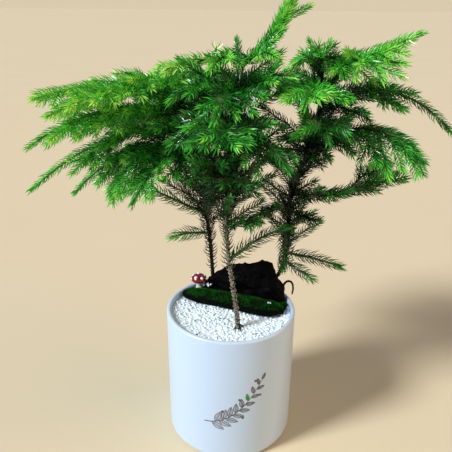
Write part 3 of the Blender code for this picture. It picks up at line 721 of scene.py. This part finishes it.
outline = [(cap_radius * share, cap_low.z + lift * MM) for share, lift in CAP_UNDERSIDE]
outline += [
    (cap_radius * math.cos(angle), cap_rim + cap_dome * math.sin(angle))
    for angle in (math.radians(degrees) for degrees in range(0, 90, 6))
]
outline.append((0.0, cap_rim + cap_dome))
cap = turned(outline, 48)

dots = bmesh.new()
for azimuth, climb, radius in CAP_DOTS + LOW_DOTS:
    level = math.cos(math.radians(climb))
    out = Vector((math.cos(math.radians(azimuth)), math.sin(math.radians(azimuth)), 0)) * level
    spot = Vector((0, 0, cap_rim)) + out * cap_radius
    spot.z += cap_dome * math.sin(math.radians(climb))
    upright = Vector((out.x / cap_radius, out.y / cap_radius, math.sin(math.radians(climb)) / cap_dome))
    tilt = upright.to_track_quat("Z", "Y").to_matrix().to_4x4()
    squash = Matrix.Diagonal((radius * MM, radius * MM, DOT_RISE * 2, 1))
    ball = bmesh.ops.create_uvsphere(dots, u_segments=16, v_segments=8, radius=1.0)["verts"]
    bmesh.ops.transform(dots, matrix=Matrix.Translation(spot) @ tilt @ squash, verts=ball)

outline = [(stalk_wide * share, stalk_low.z + lift * MM) for share, lift in STALK_SIDE]
stalk_end = stalk_high.z + STALK_INTO_CAP
outline += [(stalk_wide * STALK_TOP, stalk_end), (0.0, stalk_end)]
stalk = turned(outline, 32)

# Brushed enamel over cast resin: glossy on the cap, duller on the dots and the stalk
for name, made, node, slot, paint, dull in (
    ("toadstool_dome", cap, "toadstool_cap", "red_enamel", ("#5c060d", "#8f0d14"), 0.22),
    ("toadstool_dots", dots, "toadstool_cap", "pale_resin", ("#e8ece6", "#f7f8f4"), 0.4),
    ("toadstool_stem", stalk, "toadstool_stalk", "pale_resin", ("#c3d2c6", "#dfe9df"), 0.45),
):
    bmesh.ops.translate(made, vec=middle, verts=made.verts[:])
    title = name.replace("_", " ") + " enamel"
    brushed = (0.3, 0.1 * MM)
    finish = mottled(title, *paint, 3 * MM, 3.0, bump=brushed, Roughness=dull, Coat_Weight=0.3)
    ornament = add_piece(name, made, finish)
    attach(ornament, "root")
    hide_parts(node)


# Stems
# Three young stems, rooted in the mix and cut flat where they leave the gravel or the moss. The
# bark is rough with the pegs of fallen needles, grey-brown on the front stem and darker behind.
BARK_SEED = 77
STEM_SIDES = 18
STEM_RING = 0.9 * MM
FLARE_LOBES = 3
FLARE = 0.22
FLARE_HEIGHT = 4.0 * MM
BARK_LOSS = 0.88
PEG_PITCH = 0.9 * MM
PEG_LENGTH = (1.5, 2.8)
PEG_WIDTH = 1.0
GOLDEN_TURN = math.radians(137.5)
# Joints: height above the stem's own foot, x, y and radius of the middle line, in millimetres
STEMS = {
    "front": (
        (0, 7.5, -30.0, 4.0), (4, 7.0, -29.8, 2.7), (28, 4.0, -28.0, 2.3), (68, -2.4, -25.0, 1.9),
        (105, -5.5, -23.0, 1.8), (130, -4.5, -21.0, 1.7), (187, 0.0, -16.0, 1.5), (250, 8.0, -12.0, 1.2),
    ),
    "left": (
        (0, -19.5, 45.5, 3.6), (4, -19.6, 45.0, 2.4), (35, -21.0, 38.0, 2.0), (70, -23.5, 32.0, 1.9),
        (90, -26.0, 30.0, 1.8), (163, -31.0, 24.0, 1.5), (246, -18.0, 20.0, 1.1),
    ),
    "right": (
        (0, 39.0, 40.0, 3.8), (4, 40.5, 40.0, 2.6), (18, 50.0, 38.5, 2.3), (36, 57.0, 37.0, 2.2),
        (73, 57.5, 36.0, 2.0), (103, 58.0, 34.0, 1.9), (131, 63.0, 32.0, 1.8), (163, 74.0, 30.0, 1.6),
        (212, 84.0, 30.0, 1.5), (220, 79.0, 30.0, 1.4), (250, 74.0, 28.0, 1.2),
    ),
}
# Finish: slot, colour of the cracks with their painted shade, of the bark and of the pegs with their
# painted highlight, and where the pegs start round it
BARKS = {
    "front": ("bark", "#1a150e", "#857c69", "#d4ccb8", 0.0),
    "left": ("dark_bark", "#0a0603", "#1c1309", "#2c2012", 1.7),
    "right": ("dark_bark", "#0a0603", "#1c1309", "#2c2012", 3.9),
}

stem_feet = {stem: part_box("stem_" + stem)[0].z for stem in STEMS}
stem_columns = {stem: np.array(joints).T * MM for stem, joints in STEMS.items()}


def stem_spot(stem, height):
    """Middle of a stem and its radius, at a height in metres above its foot."""
    heights, *places = stem_columns[stem]
    x, y, radius = (np.interp(height, heights, place) for place in places)
    return np.array((x, y, stem_feet[stem] + height)), radius


def rolled(along, around, place):
    """A grid rolled into a closed tube: place(run, turn) is a point, both from 0 to 1."""
    bm = bmesh.new()
    bmesh.ops.create_grid(bm, x_segments=along, y_segments=around, size=0.5)
    for vert in bm.verts:
        vert.co = place(vert.co.x + 0.5, vert.co.y + 0.5)
    bmesh.ops.remove_doubles(bm, verts=bm.verts[:], dist=1e-6)
    close_holes(bm)
    bmesh.ops.recalc_face_normals(bm, faces=bm.faces[:])
    return bm


AWL_FACES = (
    (0, 2, 1), (0, 1, 4), (0, 4, 3), (1, 2, 5), (1, 5, 4),
    (2, 0, 3), (2, 3, 5), (3, 4, 6), (4, 5, 6), (5, 3, 6),
)


def awls(base, ahead, radial, lean, bend, length, width):
    """Corners of awl-shaped needles that lean out from a shoot and curve back along it."""
    lean, bend, length = (value[:, None] for value in (lean, bend, length))
    first = ahead * np.cos(lean) + radial * np.sin(lean)
    second = ahead * np.cos(lean - bend) + radial * np.sin(lean - bend)
    middle = base + first * length * 0.5
    tip = middle + second * length * 0.5
    side = np.cross(ahead, radial)
    corners = []
    for centre, heading, share in ((base, first, 0.8), (middle, (first + second) / 2, 1.0)):
        over = np.cross(side, heading)
        for angle in (math.pi / 2, math.pi * 7 / 6, -math.pi / 6):
            corners.append(centre + width / 2 * share * (side * math.cos(angle) - over * math.sin(angle)))
    return np.stack([*corners, tip], axis=1)


def along_line(line, places):
    """Points and directions at distances along a line of points."""
    steps = np.linalg.norm(np.diff(line, axis=0), axis=1)
    run = np.concatenate(([0.0], np.cumsum(steps)))
    headings = np.gradient(line, axis=0)
    spots = np.stack([np.interp(places, run, line[:, i]) for i in range(3)], axis=1)
    ahead = np.stack([np.interp(places, run, headings[:, i]) for i in range(3)], axis=1)
    return spots, ahead / np.linalg.norm(ahead, axis=1, keepdims=True), run[-1]


def round_shoot(ahead, turns):
    """Unit vectors that stand square to a shoot, turned round it."""
    level = np.cross(ahead, np.array((0.31, -0.17, 0.94)))
    level /= np.linalg.norm(level, axis=1, keepdims=True)
    over = np.cross(level, ahead)
    return level * np.cos(turns)[:, None] + over * np.sin(turns)[:, None]


for stem, joints in STEMS.items():
    slot, crack_and_shade_colour, bark_colour, peg_and_highlight_colour, phase = BARKS[stem]
    height = joints[-1][0] * MM

    def bark_spot(run, turn):
        centre, radius = stem_spot(stem, run * height)
        angle = math.tau * turn
        flare = FLARE * math.cos(FLARE_LOBES * angle) * max(0.0, 1 - run * height / FLARE_HEIGHT)
        out = Vector((math.cos(angle), math.sin(angle), 0.0))
        at = Vector(centre) + out * radius
        spiral = 0.07 * math.cos(5 * angle + math.tau * run * height / (11 * MM))
        rough = 0.16 * lumps(at, 1.6 * MM) + 0.10 * lumps(at, 4.5 * MM)
        return Vector(centre) + out * radius * BARK_LOSS * (1.0 + flare + spiral + rough)

    # Conifer bark on thin stems: matt, flaking in fine crossways cracks, paler on the raised scales. The
    # dark of the cracks is partly the bark's own colour and partly painted shade.
    cracks = {"spread": (0.4, 0.58), "stretch": (1.0, 1.0, 2.2), "bump": (0.8, 0.3 * MM), "Roughness": 0.9}
    bark = mottled(f"bark of the {stem} stem", crack_and_shade_colour, bark_colour, 3.4 * MM, 3.0, **cracks)
    trunk = add_piece("trunk_" + stem, rolled(int(height / STEM_RING), STEM_SIDES, bark_spot), bark)
    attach(trunk, "root")
    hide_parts("stem_" + stem)

    draw = np.random.default_rng(BARK_SEED + len(stem))
    count = int((height - 6 * MM) / PEG_PITCH)
    heights = 5 * MM + np.arange(count) * PEG_PITCH
    line = np.array([stem_spot(stem, h)[0] for h in np.linspace(0, height, 120)])
    radii = np.array([stem_spot(stem, h)[1] for h in heights])
    spots, ahead, _ = along_line(line, heights)
    radial = round_shoot(ahead, GOLDEN_TURN * np.arange(count) + phase)
    pegs = awls(
        spots + radial * radii[:, None] * 0.7,
        ahead,
        radial,
        draw.uniform(0.6, 1.0, count),
        draw.uniform(0.1, 0.5, count),
        draw.uniform(*PEG_LENGTH, count) * MM,
        PEG_WIDTH * MM,
    )
    # Needle pegs: the dry woody feet of fallen needles, mottled from the bark's colour to a paler one that
    # is partly their own dry colour and partly painted highlight
    title = f"needle pegs of the {stem} stem"
    peg_finish = mottled(title, bark_colour, peg_and_highlight_colour, 2 * MM, Roughness=0.85)
    pegged = repeated("pegs_" + stem, pegs, AWL_FACES, peg_finish)
    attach(pegged, "root")


# Boughs
# Whorls of green-barked limbs that grow out of the stems, arch over and droop. Each carries two
# rows of side twigs, and every shoot is clothed all round in short awl-shaped needles.
WHORL_STEP = 4.5
# Whorls, in millimetres as all lengths here without MM: stem and height above the gravel, then the
# boughs a, b, c and d in turn as azimuth in degrees, reach, rise of the tip above the root, and arch
# above the straight line halfway along
WHORLS = (
    ("front", 70, ((0, 53, 34, 5),)),
    ("front", 103, ((-50, 48, 18, 4),)),
    ("front", 129, ((-77, 76, 32, 12), (-118, 61, 36, 14), (97, 87, -7, 14))),
    ("front", 167, ((-60, 89, 6, 22), (-96, 103, 25, 20), (-149, 63, 1, 20), (77, 95, -15, 18))),
    ("front", 207, ((-102, 87, 2, 18), (-148, 67, 4, 16), (-33, 56, 20, 10), (86, 100, -18, 16))),
    ("front", 242, ((-55, 46, 9, 8), (-120, 55, -5, 8))),
    ("left", 73, ((-157, 44, 1, 2),)),
    ("left", 95, ((-159, 68, 40, 0),)),
    ("left", 139, ((-132, 89, -14, 32), (-157, 93, -22, 34), (176, 133, -38, 28))),
    ("left", 176, ((-174, 166, -54, 25), (-158, 158, -6, 27), (140, 118, -30, 28))),
    ("left", 211, ((179, 159, -4, 12), (-145, 150, -9, 16), (117, 110, -22, 24))),
    ("left", 243, ((-149, 49, -7, 5),)),
    ("right", 40, ((12, 36, -28, 1),)),
    ("right", 50, ((-8, 62, -13, 1),)),
    ("right", 83, ((-101, 34, -39, 10),)),
    ("right", 100, ((-31, 37, -2, -6), (-161, 50, -18, 4))),
    ("right", 116, ((-5, 104, 29, -9), (-55, 71, 17, -4))),
    ("right", 153, ((-37, 116, 13, 31), (-89, 106, 32, 24), (64, 94, -14, 24))),
    ("right", 197, ((-7, 127, -21, 31), (-107, 105, 14, 20), (90, 95, -12, 22), (-69, 91, 23, 26))),
    ("right", 242, ((-12, 88, 29, -5), (-43, 87, 0, 2), (112, 55, -22, 6))),
)
# Buds at the leader's side and on the right stem's top: foot and tip
SIDE_BUDS = (
    ("front", (40.0, -11.0, 413.0), (60.0, -11.0, 422.0)),
    ("right", (69.8, -14.0, 382.8), (59.8, -14.0, 396.5)),
    ("right", (69.8, -14.0, 382.8), (77.6, -14.0, 396.0)),
)
BUD_NEEDLES = (6.5 * MM, 0.4 * MM, 0.6 * MM)
BUD_TONE = 3.2
# Leaders: azimuth, reach, rise and arch, as for a bough
LEADERS = {"front": (3, 39, 46, -14), "left": (0, 3, 8, -2), "right": (-60, 3, 7, -1)}
LEADER_BARE = 1.5
GROWTH_SEED = 11
BOUGH_RADIUS = (1.5, 0.7)
BOUGH_SIDES = 7
BOUGH_RING = 1.6 * MM
BOUGH_SWAY = 3.0
TIP_ROOM = 4.5
BRANCHED_ABOVE = 98
# Habits: pitch of the twigs, their droop in degrees, their share of the bough, and needle length
BOUGH_TWIGS = (6.4, 4.0, 0.38, 10.0)
LOW_TWIGS = (6.8, -22.0, 0.48, 12.0)
HANGING_TWIGS = (5.8, 28.0, 0.42, 10.0)
LEADER_TWIGS = (3.4, -34.0, 0.52, 10.5)
NO_TWIGS = (1000.0, 0.0, 0.0, 12.5)
HABITS = dict.fromkeys(("front 4a", "front 5c", "right 6a", "right 8b"), HANGING_TWIGS)
HABITS.update(dict.fromkeys(("right 5a", "right 5b"), LOW_TWIGS))
# Bare of twigs: how much at the root and at the tip, on every bough and on those that differ
BARE_ROOT = 10.0
BARE_END = (16.0, 38.0)
BARE_PARTS = {
    "left 3a": (10, 20), "left 3b": (10, 8), "left 3c": (10, 58), "left 4a": (10, 76),
    "left 4b": (10, 44), "right 5a": (50, 16), "right 5b": (36, 12), "right 6a": (10, 6),
    "right 7a": (10, 78), "right 7b": (34, 20), "right 7c": (30, 20), "right 7d": (46, 30),
    "right 8b": (10, 42),
}
TWIG_ANGLE = 46.0
TWIG_WANDER = 9.0
TWIG_LENGTH = (15.0, 44.0)
DROOP_WANDER = 22.0
TWIG_SAG = 0.13
TWIG_SWEEP = 0.08
TWIG_SPREAD = (0.7, 1.1)
TWIG_RADIUS = (0.7, 0.35)
SWELL_START = 0.22
SWELL_POWER = 0.8
FORKED_FROM = 36.0
FORK_LENGTH = (12.0, 18.0)
FORKS = ((0.42, 1), (0.62, -1))
NEEDLE_LENGTH = 10.0 * MM
NEEDLE_WIDTH = 1.05 * MM
NEEDLE_PITCH = 0.56 * MM
NEEDLE_LEAN = math.radians(57)
NEEDLE_CURVE = 0.42
ROW_TURN = math.radians(73.5)
# Needles on the stems themselves: from and to a height, pitch and length
CLOTHED_DEPTH = 2.2 * MM
CLOTHED_TONE = 0.6
CLOTHED = (
    ("front", 60, 96, 0.8, 10.0),
    ("front", 92, 236, 0.42, 12.5),
    ("left", 26, 44, 1.1, 8.0),
    ("left", 42, 66, 0.7, 10.5),
    ("left", 62, 240, 0.42, 12.5),
    ("right", 28, 204, 0.42, 12.5),
    ("right", 222, 254, 0.42, 11.0),
)
# Short shoots on the stems: from and to a height, shortest and longest
SHOOTS = (
    ("front", 104, 140, 30.0, 52.0),
    ("front", 140, 230, 34.0, 60.0),
    ("left", 84, 150, 36.0, 60.0),
    ("left", 150, 214, 22.0, 38.0),
    ("right", 60, 150, 24.0, 42.0),
    ("right", 150, 196, 34.0, 58.0),
    ("right", 200, 246, 16.0, 26.0),
)
SHOOT_PITCH = 4.2
SHOOT_LEAN = math.radians(46)
SHOOT_SWEEP = 0.2
# Painted light: what every needle of a stem adds to its tone. The left stem's crown, which faces the
# main light, is painted brightest.
STEM_PAINTED_LIGHT = {"front": -0.2, "left": 1.1, "right": 0.0}
# Tones: a needle's tone picks its shade, and 0 is the oldest. The tone inside the crown, what the
# height, the place out along a bough and the crown's foot add to it, what a place at the tip of its
# shoot adds, and how far single needles and whole sprays stray from it. What the height adds is painted
# light. The dark inside the crown and the brightness far out are partly the needles' age and partly
# painted shade and light.
TONE_INSIDE = 0.8
TONE_HIGH_PAINTED_LIGHT = 2.2
TONE_OUTSIDE = 2.0
TONE_FOOT = 0.8
TONE_TIP = 1.3
TONE_SCATTER = 0.45
SPRAY_SCATTER = 0.3
LINE_SHARES = np.linspace(0, 1, 9)[:, None]
UP = np.array((0.0, 0.0, 1.0))

gravel_top = gravel_high.z


def tube_corners(line, radii, sides, draw):
    """Corners and triangles of a closed tapering shoot that ends in a point."""
    headings = np.gradient(line, axis=0)
    headings /= np.linalg.norm(headings, axis=1, keepdims=True)
    corners = []
    for k in range(sides):
        out = round_shoot(headings, np.full(len(line), math.tau * k / sides))
        rough = draw.uniform(0.85, 1.15, (len(line), 1))
        corners.append(line + out * radii[:, None] * rough)
    rings = np.stack(corners, axis=1).reshape(-1, 3)
    point = len(rings)
    last = point - sides
    faces = []
    for start in range(0, last, sides):
        for k in range(sides):
            a, b = start + k, start + (k + 1) % sides
            faces += [(a, a + sides, b + sides), (a, b + sides, b)]
    faces += [(0, k, k + 1) for k in range(1, sides - 1)]
    faces += [(last + (k + 1) % sides, last + k, point) for k in range(sides)]
    tip = line[-1] + headings[-1] * radii[-1] * 2
    return np.vstack([rings, tip]), np.array(faces)


def side_twig(base, ahead, side, length, droop, draw):
    """Middle line of a side twig: swung out from its bough, drooping and curving forward."""
    swing = math.radians(TWIG_ANGLE + draw.uniform(-TWIG_WANDER, TWIG_WANDER))
    droop = math.radians(droop + draw.uniform(-DROOP_WANDER, DROOP_WANDER))
    level = np.cross(ahead, UP)
    level *= side / np.linalg.norm(level)
    along = ahead * math.cos(swing) + level * math.sin(swing) - UP * math.sin(droop)
    along /= np.linalg.norm(along)
    bend = (ahead * TWIG_SWEEP - UP * TWIG_SAG) * LINE_SHARES**2
    return base + length * (along * LINE_SHARES + bend)


def tone_at(place, spot):
    """Shade of a spray: dark near the stems and low down, bright far out and at the top. The top's
    brightness is painted light, and the dark near the stems is partly older needles, partly painted shade.
    """
    height = max(0.0, min(1.0, (spot[2] - 0.20) / 0.19))
    foot = max(0.0, (0.23 - spot[2]) / 0.06)
    return TONE_INSIDE + TONE_HIGH_PAINTED_LIGHT * height**3 + TONE_OUTSIDE * place**1.5 + TONE_FOOT * foot


class Growth:
    """What grows on one stem: limbs and twigs as tubes, and needles by shade."""

    def __init__(self, painted_light):
        self.painted_light = painted_light
        self.limbs = []
        self.twigs = []
        self.needles = []
        self.tones = []

    def clothe(self, line, length, pitch, radius, tone, draw):
        """Needles all round one shoot, shorter and more upright towards its tip."""
        run = np.linalg.norm(np.diff(line, axis=0), axis=1).sum()
        count = max(6, int(run / pitch))
        share = (np.arange(count) + draw.uniform(0.2, 0.8, count)) / count
        spots, ahead, _ = along_line(line, share * run)
        radial = round_shoot(ahead, ROW_TURN * np.arange(count) + draw.normal(0, 0.1, count))
        lean = NEEDLE_LEAN * (1 - 0.6 * share**4) + draw.normal(0, 0.09, count)
        full = np.minimum(1.0, 0.7 + 2 * share) * (1 - 0.3 * share**4)
        reach = length * full * draw.uniform(0.82, 1.12, count)
        base = spots + radial * radius * 0.6
        self.needles.append(awls(base, ahead, radial, lean, NEEDLE_CURVE * lean, reach, NEEDLE_WIDTH))
        self.tones.append(tone + TONE_TIP * share**3 + draw.normal(0, TONE_SCATTER, count))

    def add_twig(self, line, tone, draw):
        """A twig along a line, with its needles."""
        radii = np.linspace(*TWIG_RADIUS, len(line)) * MM
        self.twigs.append(tube_corners(line, radii, 4, draw))
        self.clothe(line, NEEDLE_LENGTH, NEEDLE_PITCH, 0.5 * MM, tone, draw)


def grow_bough(growth, root, azimuth, reach, rise, arch, bare, habit, draw):
    """One bough with its twigs and needles, by the rule that shaped the solids."""
    turn = math.radians(azimuth)
    out = np.array((math.cos(turn), math.sin(turn), 0.0))
    share = np.linspace(0, 1, 60)[:, None]
    sway = np.cross(out, UP) * BOUGH_SWAY * draw.uniform(-1, 1) * min(1, reach / 60)
    height = rise * share + 4 * arch * share * (1 - share)
    line = root + (out * reach * share + UP * height + sway * np.sin(math.pi * share)) * MM
    _, _, run = along_line(line, np.zeros(1))
    tip_run = run - TIP_ROOM * MM
    rings = max(6, int(tip_run / BOUGH_RING))
    axis, headings, _ = along_line(line, np.linspace(0, tip_run, rings))
    thick, thin = BOUGH_RADIUS
    radii = np.linspace(thick, thin, rings) * MM
    growth.limbs.append(tube_corners(axis, radii, BOUGH_SIDES, draw))
    # The stem's painted light, with a random spread for each bough
    fresh = growth.painted_light + draw.uniform(-SPRAY_SCATTER, SPRAY_SCATTER)
    tone = tone_at(0.3, line.mean(axis=0)) + fresh
    pitch, droop, size_share, needle = habit
    growth.clothe(axis[2:], needle * MM, NEEDLE_PITCH, thick * MM * 0.6, tone, draw)
    at = bare[0] * MM if pitch < reach else run
    side = 1
    while at < tip_run - bare[1] * MM:
        place = at / run
        swell = math.sin(math.pi * (SWELL_START + (1 - SWELL_START) * place)) ** SWELL_POWER
        size = min(TWIG_LENGTH[1] * MM, max(TWIG_LENGTH[0] * MM, size_share * run * swell))
        size = size * draw.uniform(*TWIG_SPREAD) - TIP_ROOM * MM
        spot, ahead, _ = along_line(line, np.array([at]))
        twig = side_twig(spot[0], ahead[0], side, size, droop, draw)
        tone = tone_at(place, spot[0]) + fresh + draw.uniform(-SPRAY_SCATTER, SPRAY_SCATTER)
        lines = [twig]
        if size > FORKED_FROM * MM:
            for fork_at, hand in FORKS:
                point, heading, _ = along_line(twig, np.array([size * fork_at]))
                fork = draw.uniform(*FORK_LENGTH) * MM
                lines.append(side_twig(point[0], heading[0], hand * side, fork, droop, draw))
        for shoot in lines:
            growth.add_twig(shoot, tone, draw)
        at += pitch * MM * draw.uniform(0.85, 1.15)
        side = -side


def joined(name, tubes, finish):
    """One object of many tubes."""
    starts = np.cumsum([0] + [len(corners) for corners, _ in tubes])
    faces = np.vstack([triangles + start for (_, triangles), start in zip(tubes, starts)])
    return repeated(name, np.vstack([corners for corners, _ in tubes])[None], faces, finish)


growths = {stem: Growth(STEM_PAINTED_LIGHT[stem]) for stem in STEMS}
masses = {stem: [f"needles_{stem}_leader"] for stem in STEMS}
counts = dict.fromkeys(STEMS, 0)
draw = np.random.default_rng(GROWTH_SEED)
for stem, height, members in WHORLS:
    counts[stem] += 1
    for step, (azimuth, reach, rise, arch) in enumerate(members):
        root, _ = stem_spot(stem, gravel_top + (height + step * WHORL_STEP) * MM - stem_feet[stem])
        title = f"{stem} {counts[stem]}{'abcd'[step]}"
        habit = HABITS.get(title, NO_TWIGS if height < BRANCHED_ABOVE else BOUGH_TWIGS)
        usual = (BARE_ROOT, draw.uniform(*BARE_END) * min(1.0, reach / 100))
        bare = BARE_PARTS.get(title, usual)
        grow_bough(growths[stem], root, azimuth, reach, rise, arch, bare, habit, draw)
        masses[stem].append("needles_" + title.replace(" ", "_"))
for stem, (azimuth, reach, rise, arch) in LEADERS.items():
    root, _ = stem_spot(stem, STEMS[stem][-1][0] * MM)
    bare = (LEADER_BARE, 0.2 * reach)
    grow_bough(growths[stem], root, azimuth, reach, rise, arch, bare, LEADER_TWIGS, draw)
for stem, bud_foot, bud_tip in SIDE_BUDS:
    bud = np.array((bud_foot, bud_tip)) * MM
    growths[stem].clothe(bud[0] + (bud[1] - bud[0]) * LINE_SHARES, *BUD_NEEDLES, BUD_TONE, draw)
for stem, low, high, pitch, length in CLOTHED:
    ground = gravel_top - stem_feet[stem]
    line = np.array([stem_spot(stem, ground + h * MM)[0] for h in np.arange(low, high, 4.0)])
    growths[stem].clothe(line, length * MM, pitch * MM, CLOTHED_DEPTH, CLOTHED_TONE, draw)
for stem, low, high, short, long in SHOOTS:
    ground = gravel_top - stem_feet[stem]
    for step, h in enumerate(np.arange(low, high, SHOOT_PITCH)):
        spot, _ = stem_spot(stem, ground + h * MM)
        turn = GOLDEN_TURN * step
        out = np.array((math.cos(turn), math.sin(turn), 0.0))
        length = draw.uniform(short, long) * MM
        along = out * math.sin(SHOOT_LEAN) + UP * math.cos(SHOOT_LEAN)
        line = spot + length * (along * LINE_SHARES + out * SHOOT_SWEEP * LINE_SHARES**2)
        growths[stem].add_twig(line, tone_at(0.0, spot) + draw.uniform(-0.2, 0.4), draw)

# Bough bark and green twigs: smooth young bark, mottled brown and green, with a faint wax that
# softens the shine
limb_bark = mottled("young bough bark", "#3b3a1d", "#41602a", 9 * MM, 3.0, (0.38, 0.62), Roughness=0.7)
twig_bark = mottled("green twig bark", "#2c5a1e", "#57913a", 6 * MM, Roughness=0.6)

# Needles: stiff, waxy and incurved, deep green inside the crown and on the old wood, fresher
# further out, and yellow-green at the growing tips. Each shade is dealt out by spray. The deep green
# inside is partly painted shade, and the brighter shades at the top and on the left stem are painted
# light.
SHADES = (
    ("old", "#041e06", "#072a09"),
    ("dark", "#07340a", "#0c450d"),
    ("deep", "#146e16", "#1e881d"),
    ("leaf", "#3aae2a", "#52c837"),
    ("fresh", "#76ce3e", "#8ede4c"),
    ("young", "#b2e65a", "#ccf272"),
)
WAXY = {"Roughness": 0.34, "Coat_Weight": 0.1}
needle_finishes = [
    mottled(name + " needles", dark, pale, 8 * MM, spread=(0.38, 0.62), **WAXY)
    for name, dark, pale in SHADES
]

for stem, growth in growths.items():
    pieces = [joined("boughs_" + stem, growth.limbs, limb_bark)]
    pieces.append(joined("twigs_" + stem, growth.twigs, twig_bark))
    corners = np.concatenate(growth.needles)
    shade = np.clip(np.floor(np.concatenate(growth.tones)), 0, len(SHADES) - 1).astype(int)
    for i, (name, _, _) in enumerate(SHADES):
        if (shade == i).any():
            chosen = corners[shade == i]
            pieces.append(repeated(f"{name}_needles_{stem}", chosen, AWL_FACES, needle_finishes[i]))
    for piece in pieces:
        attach(piece, "root")
        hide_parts(*masses[stem])


# Litter
# Bits that have fallen onto the gravel and the moss: dry needles, a crumb of bark, short dead
# rootlets at the front stem's foot, a curled twig over the rim, and a few stray chippings.
LITTER_SEED = 9
DRY_RADII = (0.34, 0.16)
ROOT_RADII = (0.9, 0.35)
CRUMB_RADII = (0.9, 0.8)
CURL_RADII = (1.5, 0.9)
STRAY_SIZES = (1.3, 1.9)
DRY_BITS = (
    ((-12.0, -13.6, 0.6), (-8.7, -15.3, 1.0), (-4.7, -16.1, 1.4), (-0.7, -19.6, 1.2), (2.3, -23.1, 0.5)),
    ((-36.0, -20.0, 0.5), (-33.0, -18.5, 1.3), (-29.5, -19.0, 0.6)),
    ((22.0, -42.0, 0.5), (25.0, -40.0, 1.2), (29.0, -40.5, 0.5)),
    ((-14.0, -47.0, 0.5), (-11.0, -49.0, 1.1), (-8.0, -48.5, 0.5)),
    ((36.0, -28.0, 0.5), (37.0, -31.0, 1.2), (36.0, -34.5, 0.6)),
)
ROOTLETS = (
    ((9.0, -28.5, 2.6), (11.6, -28.8, 1.5), (13.6, -27.8, 0.4)),
    ((8.6, -31.5, 2.0), (9.6, -34.4, 1.0), (9.3, -36.2, 0.2)),
    ((5.4, -31.6, 2.0), (3.2, -33.8, 1.0), (2.4, -35.6, 0.2)),
)
CRUMB = ((-32.4, -43.9, 0.4), (-30.8, -44.2, 1.3), (-29.4, -43.4, 0.5))
CURLED_TWIG = (
    (55.0, 38.0, 8.0), (57.6, 37.8, 13.0), (60.4, 38.0, 15.6), (64.4, 38.2, 15.2),
    (66.8, 38.2, 11.0), (67.2, 38.0, 5.4), (66.4, 37.8, 0.5),
)
STRAYS = (
    (-29.8, 35.6, 10.4), (-27.0, 38.2, 10.2), (-24.6, 34.4, 10.6), (-22.0, 37.0, 10.4), (-25.4, 36.4, 11.6),
    (-16.0, 46.0, 18.6), (-13.4, 46.0, 18.4), (37.6, -2.0, 11.9), (39.8, -2.6, 11.7),
)


def bent(points, radii, draw):
    """A little tube through points given in millimetres, with heights above the gravel."""
    knots = np.array(points) * MM + UP * gravel_top
    run = np.linspace(0, len(knots) - 1, 4 * len(knots))
    line = np.stack([np.interp(run, np.arange(len(knots)), knots[:, i]) for i in range(3)], axis=1)
    line[1:-1] = (line[:-2] + 2 * line[1:-1] + line[2:]) / 4
    return tube_corners(line, np.linspace(*radii, len(line)) * MM, 5, draw)


draw = np.random.default_rng(LITTER_SEED)
dry = [bent(points, DRY_RADII, draw) for points in DRY_BITS]
dry += [bent(points, ROOT_RADII, draw) for points in ROOTLETS]
dry += [bent(CRUMB, CRUMB_RADII, draw), bent(CURLED_TWIG, CURL_RADII, draw)]

# Dead twig and needle: dry, matt and dark brown, greyer where it has weathered
dead = mottled("dead twig", "#160c05", "#3c2a18", 3 * MM, Roughness=0.9, Specular_IOR_Level=0.2)
litter = joined("dry_litter", dry, dead)
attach(litter, "root")

spots = np.array(STRAYS) * MM + UP * gravel_top
turns = tumbled(len(spots), draw)
grains = shapes[draw.integers(0, GRAIN_SHAPES, len(spots))]
grains = grains * draw.uniform(*STRAY_SIZES, (len(spots), 1, 1)) * MM
grains = np.einsum("nij,nkj->nki", turns, grains) + spots[:, None]
strays = repeated("stray_grains", grains, chip_faces, marble, smooth=False)
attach(strays, "root")
